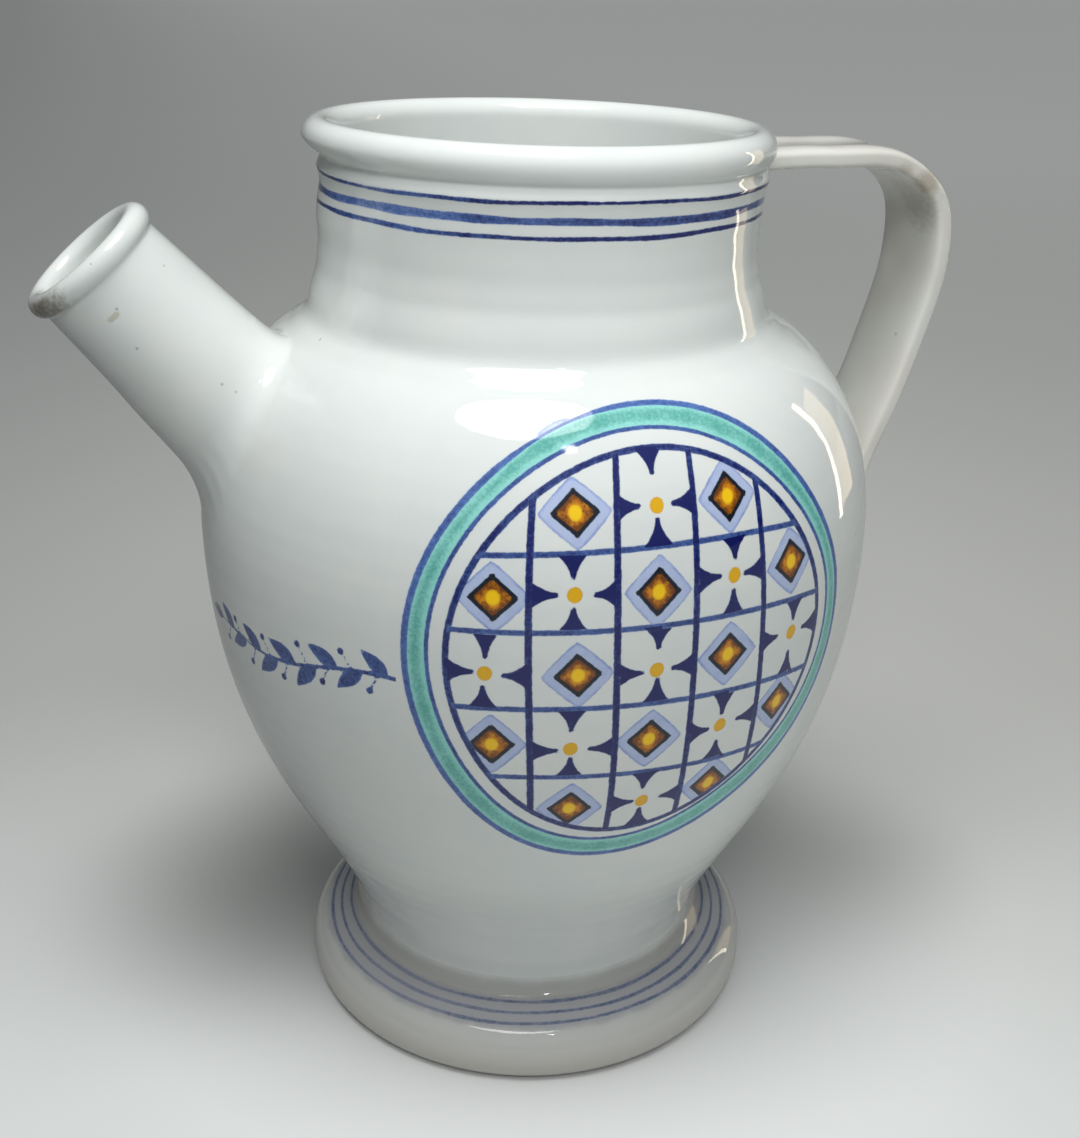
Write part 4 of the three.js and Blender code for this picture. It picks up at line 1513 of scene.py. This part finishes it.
def lozenges_over(nodes, colour, grain):
    """Lays the scrubbed amber lozenges, brown along their edges, and their dark outlines with a
    blob at each corner."""
    depth = nodes.field("lozenge")
    scrub = nodes.total((nodes.noise(1.7, 3, 0.7), 2.6), nodes.ramp(depth, 0.0, 2.6))
    amber = nodes.mix(nodes.ramp(scrub, 0.05, 0.95), srgb(118, 62, 12), srgb(212, 136, 18))
    colour = nodes.mix(brushed(nodes, depth, 0.5, 0.15), colour, amber)
    edge = nodes.math("MAXIMUM", line_along(nodes, "lozenge", 0.42), nodes.field("blobs"))
    dark = nodes.mix(nodes.ramp(grain, -0.2, 0.3), srgb(10, 14, 34), srgb(34, 44, 46))
    return nodes.mix(brushed(nodes, edge, 0.35, 0.13, 0.9), colour, dark)


def dots_over(nodes, colour):
    """Lays the dots: yellow on the lozenges, ochre on the flowers, darker along their edges."""
    depth = nodes.field("yellow")
    yellow = nodes.mix(nodes.field("ochre"), srgb(252, 204, 16), srgb(232, 178, 16))
    rim = nodes.times(nodes.ramp(depth, 0.5, 0.0), 0.4)
    yellow = nodes.mix(rim, yellow, srgb(208, 142, 20))
    return nodes.mix(brushed(nodes, depth, 0.35, 0.16), colour, yellow)


def painted_glaze():
    """White glaze with the painting of the belly: turquoise, pale wash, amber, dark outlines,
    yellow dots and cobalt strokes, each over the last."""
    nodes, colour, relief = glaze_ground("painted_tin_glaze")
    grain = nodes.noise(0.7, 3, 0.7)
    cloud = nodes.noise(5, 2)
    colour = turquoise_over(nodes, colour, grain, cloud)
    colour = wash_over(nodes, colour, grain, cloud)
    colour = lozenges_over(nodes, colour, grain)
    colour = dots_over(nodes, colour)
    within = nodes.times(nodes.field("inner_ring"), -1.0)
    strokes = ((line_along(nodes, "outer_ring", 0.70), 0.36),
               (line_along(nodes, "band_ring", 0.46), 0.52),
               (line_along(nodes, "inner_ring", 0.70), 0.78),
               (lattice(nodes, "levels", 0.62, within), 0.55),
               (lattice(nodes, "uprights", 0.74, within), 0.88),
               (nodes.field("cobalt"), nodes.field("cobalt_load")))
    for depth, load in strokes:
        colour = cobalt_over(nodes, colour, depth, load)
    return finish_glaze(nodes, colour, relief)


def registered_wall(context):
    """The jug's wall and its spout's frame, worked out from the registered sizes."""
    wall = thrown_wall(millimetres(context.scene.jug_body))
    return wall, SpoutFrame(wall, millimetres(context.scene.jug_spout))


class JUG_OT_body(bpy.types.Operator):
    """Make the foot, belly, neck and lip"""

    bl_idname = "jug.body"
    bl_label = "Body"

    def execute(self, context):
        wall, spout = registered_wall(context)
        size, outside, inside = wall.size, wall.outside, wall.inside
        lined = lined_glaze()
        make_foot(wall, lined, line_paint(wall, FOOT_LINES, 0.10))
        make_belly(wall, spout, painted_glaze(), belly_paint(wall))
        lip, inner_lip = along_at(outside, size.lip_joint), along_at(inside, size.lip_joint - 2)
        make_ring_piece("neck", wall,
                        [(along_at(outside, size.neck_joint), 1.0), (lip - 14, 0.4), (lip, 1)],
                        [(inner_lip, 2.0), (along_at(inside, size.neck_joint), 1)],
                        lined, line_paint(wall, NECK_LINES, 0.14))
        make_ring_piece("lip", wall, [(lip, 0.35), (wall.top, 1)],
                        [(wall.top, 0.5), (inner_lip, 1)], plain_glaze())
        return {"FINISHED"}


class JUG_OT_spout(bpy.types.Operator):
    """Make the spout's collar, tube and mouth bead"""

    bl_idname = "jug.spout"
    bl_label = "Spout"

    def execute(self, context):
        wall, spout = registered_wall(context)
        _, _, loop = spout_loop(wall, spout)
        material = spout_glaze()
        top_at, upper = make_collar(wall, spout, loop, material)
        profile = make_tube(wall, spout, loop, top_at, upper, material)
        make_bead(spout, profile, loop, material)
        return {"FINISHED"}


class JUG_OT_handle(bpy.types.Operator):
    """Make the strap handle and its two wads"""

    bl_idname = "jug.handle"
    bl_label = "Handle"

    def execute(self, context):
        wall, _ = registered_wall(context)
        handle = millimetres(context.scene.jug_handle)
        material = handle_glaze()
        strap = make_strap(wall, handle, material)
        make_wad("handle_upper_wad", wall, handle, strap, 5.5, True, material)
        make_wad("handle_lower_wad", wall, handle, strap, 17.0, False, material)
        return {"FINISHED"}


# The camera's place in millimetres, and its heading from +Y towards +X, its tilt down from level
# and its roll in degrees
CAMERA_PLACE = (-105.7, -325.5, 261.3)
CAMERA_TURNS = (18.2984, 23.6571, 1.1078)


def place_camera(focal):
    """Puts the camera where the photograph was taken from."""
    data = bpy.data.cameras.new("camera")
    data.lens = focal
    data.sensor_width = 36
    camera = bpy.data.objects.new("camera", data)
    bpy.context.scene.collection.objects.link(camera)
    bpy.context.scene.camera = camera
    heading, down, roll = (math.radians(value) for value in CAMERA_TURNS)
    ahead = Vector((math.sin(heading) * math.cos(down), math.cos(heading) * math.cos(down),
                    -math.sin(down)))
    right = ahead.cross(Vector((0, 0, 1))).normalized()
    above = right.cross(ahead)
    across = right * math.cos(roll) + above * math.sin(roll)
    upwards = above * math.cos(roll) - right * math.sin(roll)
    turned = Matrix((across, upwards, -ahead)).transposed()
    camera.matrix_world = Matrix.Translation(Vector(CAMERA_PLACE) * MM) @ turned.to_4x4()
    data.clip_start = 0.01
    data.clip_end = 50


# Pools of light and shade on the floor: place and radius in millimetres, strength and colour
FLOOR_POOLS = (((-5, -85, 0), 150, 0.95, (1.0, 1.0, 0.99, 1)),
               ((-62, 44, 0), 75, 0.6, (0.14, 0.135, 0.13, 1)),
               ((92, 12, 0), 62, 0.36, (0.2, 0.195, 0.19, 1)))


def make_floor(settings):
    """A wide sheet of pale paper. Its colour falls off smoothly away from where the light pools,
    in the sheet's own coordinates, and it gives back less light on the spout's side. The glaze
    mirrors it nearly as it is seen."""
    half = 12.0
    mesh = bpy.data.meshes.new("floor")
    mesh.from_pydata([(-half, -half, 0), (half, -half, 0), (half, half, 0), (-half, half, 0)],
                     [], [(0, 1, 2, 3)])
    floor = bpy.data.objects.new("floor", mesh)
    bpy.context.scene.collection.objects.link(floor)
    nodes = Nodes(bpy.data.materials.new("floor_paper"))
    x, y, _ = nodes.axes(nodes.place())
    back = nodes.total((x, 0.30), (y, 0.95))
    middle = nodes.mix(nodes.ramp(x, -0.35, 0.45), (*settings.floor_left, 1),
                       (*settings.floor_right, 1))
    near = nodes.mix(nodes.ramp(back, -0.12, 0.16), (*settings.floor_near, 1), middle)
    far = nodes.mix(nodes.ramp(x, -0.9, 0.9), (*settings.far_left, 1), (*settings.far_right, 1))
    seen = nodes.mix(nodes.ramp(back, 0.15, 1.8), near, far)
    for point, radius, strength, tint in FLOOR_POOLS:
        seen = nodes.mix(nodes.times(nodes.near(point, radius), strength), seen, tint)
    side = nodes.total((x, 0.95), (y, -0.31))
    bounce = nodes.ramp(side, -0.22, 0.02, settings.bounce_left, settings.bounce_right)
    given = nodes.mix(bounce, (0, 0, 0, 1), seen)
    rays = nodes.add("LightPath").outputs
    shown = nodes.math("MAXIMUM", rays["Is Camera Ray"], nodes.times(rays["Is Glossy Ray"], 0.6))
    shader = nodes.tree.nodes["Principled BSDF"]
    nodes.link(shader.inputs["Base Color"], nodes.mix(shown, given, seen))
    shader.inputs["Roughness"].default_value = 0.85
    mesh.materials.append(nodes.owner)


def light_room(settings):
    """A room that is bright overhead and in front, and dim near the horizon elsewhere."""
    world = bpy.data.worlds.new("room")
    bpy.context.scene.world = world
    nodes = Nodes(world)
    way = nodes.add("TexCoord").outputs["Generated"]
    facing = nodes.add("VectorMath", way, (-0.20, -0.70, 0.68))
    facing.operation = "DOT_PRODUCT"
    strength = nodes.total(
        nodes.ramp(nodes.axes(way)[2], 0.0, 0.8, settings.room_low, settings.room_high),
        nodes.ramp(facing.outputs["Value"], 0.25, 1.0, 0.0, settings.room_front))
    background = nodes.tree.nodes["Background"]
    background.inputs["Color"].default_value = (0.93, 0.985, 1.0, 1)
    nodes.link(background.inputs["Strength"], strength)


def hang(name, lamp, where, towards):
    """Hangs a lamp at a place and turns it to face a point, in metres. It gives the object."""
    made = bpy.data.objects.new(name, lamp)
    bpy.context.scene.collection.objects.link(made)
    made.location = where
    made.rotation_mode = "QUATERNION"
    made.rotation_quaternion = (Vector(where) - Vector(towards)).to_track_quat("Z", "Y")
    return made


def flat_lamp(name, where, towards, sides, power, colour, shape="RECTANGLE"):
    """A flat lamp, with its sides in metres and its power in watts."""
    lamp = bpy.data.lights.new(name, "AREA")
    lamp.shape = shape
    lamp.size, lamp.size_y = sides
    lamp.energy = power
    lamp.color = colour
    return hang(name, lamp, where, towards)


class JUG_OT_stage(bpy.types.Operator):
    """Make the camera, the floor and the lamps"""

    bl_idname = "jug.stage"
    bl_label = "Stage"

    def execute(self, context):
        settings = context.scene.jug_stage
        place_camera(settings.focal)
        context.scene.view_settings.view_transform = "Standard"
        make_floor(settings)
        light_room(settings)
        flat_lamp("overhead", (-0.10, -0.18, 0.97), (-0.10, -0.18, 0.17), (0.50, 0.48),
                  settings.lamp_strength, (1.0, 1.0, 1.0), "ELLIPSE")
        spot = bpy.data.lights.new("fill", "SPOT")
        spot.energy = settings.fill_strength
        spot.color = (0.97, 0.99, 1.0)
        spot.spot_size = math.radians(36)
        spot.spot_blend = 1.0
        spot.shadow_soft_size = 0.10
        hang("fill", spot, (-0.11, -0.44, 0.59), (0.0, 0.0, 0.212)).visible_glossy = False
        mirrored = (
            ("warm_strip", (0.614, 0.086, 0.21), (0, 0, 0.21), (0.028, 0.38),
             settings.strip_strength, (1.0, 0.86, 0.66)),
            ("warm_panel", (0.638, 0.175, 0.19), (0, 0, 0.19), (0.12, 0.34),
             settings.panel_strength, (1.0, 0.76, 0.46)),
            ("glint", (0.0, -0.64, 1.13), (0, 0, 0.1), (0.055, 0.055),
             settings.glint_strength, (1.0, 1.0, 1.0)),
        )
        for lamp in mirrored:
            flat_lamp(*lamp).visible_diffuse = False
        return {"FINISHED"}


class JUG_PT_panel(bpy.types.Panel):
    """Lists the steps that make the jug"""

    bl_idname = "JUG_PT_panel"
    bl_label = "Wine jug"
    bl_space_type = "VIEW_3D"
    bl_region_type = "UI"
    bl_category = "Jug"

    def draw(self, context):
        for step in (JUG_OT_body, JUG_OT_spout, JUG_OT_handle, JUG_OT_stage):
            self.layout.operator(step.bl_idname)


CLASSES = (JugBodySizes, JugSpoutSizes, JugHandleSizes, JugStageSizes, JUG_OT_body,
           JUG_OT_spout, JUG_OT_handle, JUG_OT_stage, JUG_PT_panel)
GROUPS = {"jug_body": JugBodySizes, "jug_spout": JugSpoutSizes, "jug_handle": JugHandleSizes,
          "jug_stage": JugStageSizes}


def register():
    """Registers the classes and gives the scene its groups of sizes."""
    for made in CLASSES:
        bpy.utils.register_class(made)
    for name, group in GROUPS.items():
        setattr(bpy.types.Scene, name, bpy.props.PointerProperty(type=group))


def unregister():
    """Takes away what register has added."""
    for name in GROUPS:
        delattr(bpy.types.Scene, name)
    for made in reversed(CLASSES):
        bpy.utils.unregister_class(made)


def main():
    """Makes the jug and its stage."""
    register()
    bpy.ops.jug.stage()
    bpy.ops.jug.body()
    bpy.ops.jug.spout()
    bpy.ops.jug.handle()


if __name__ == "__main__":
    main()
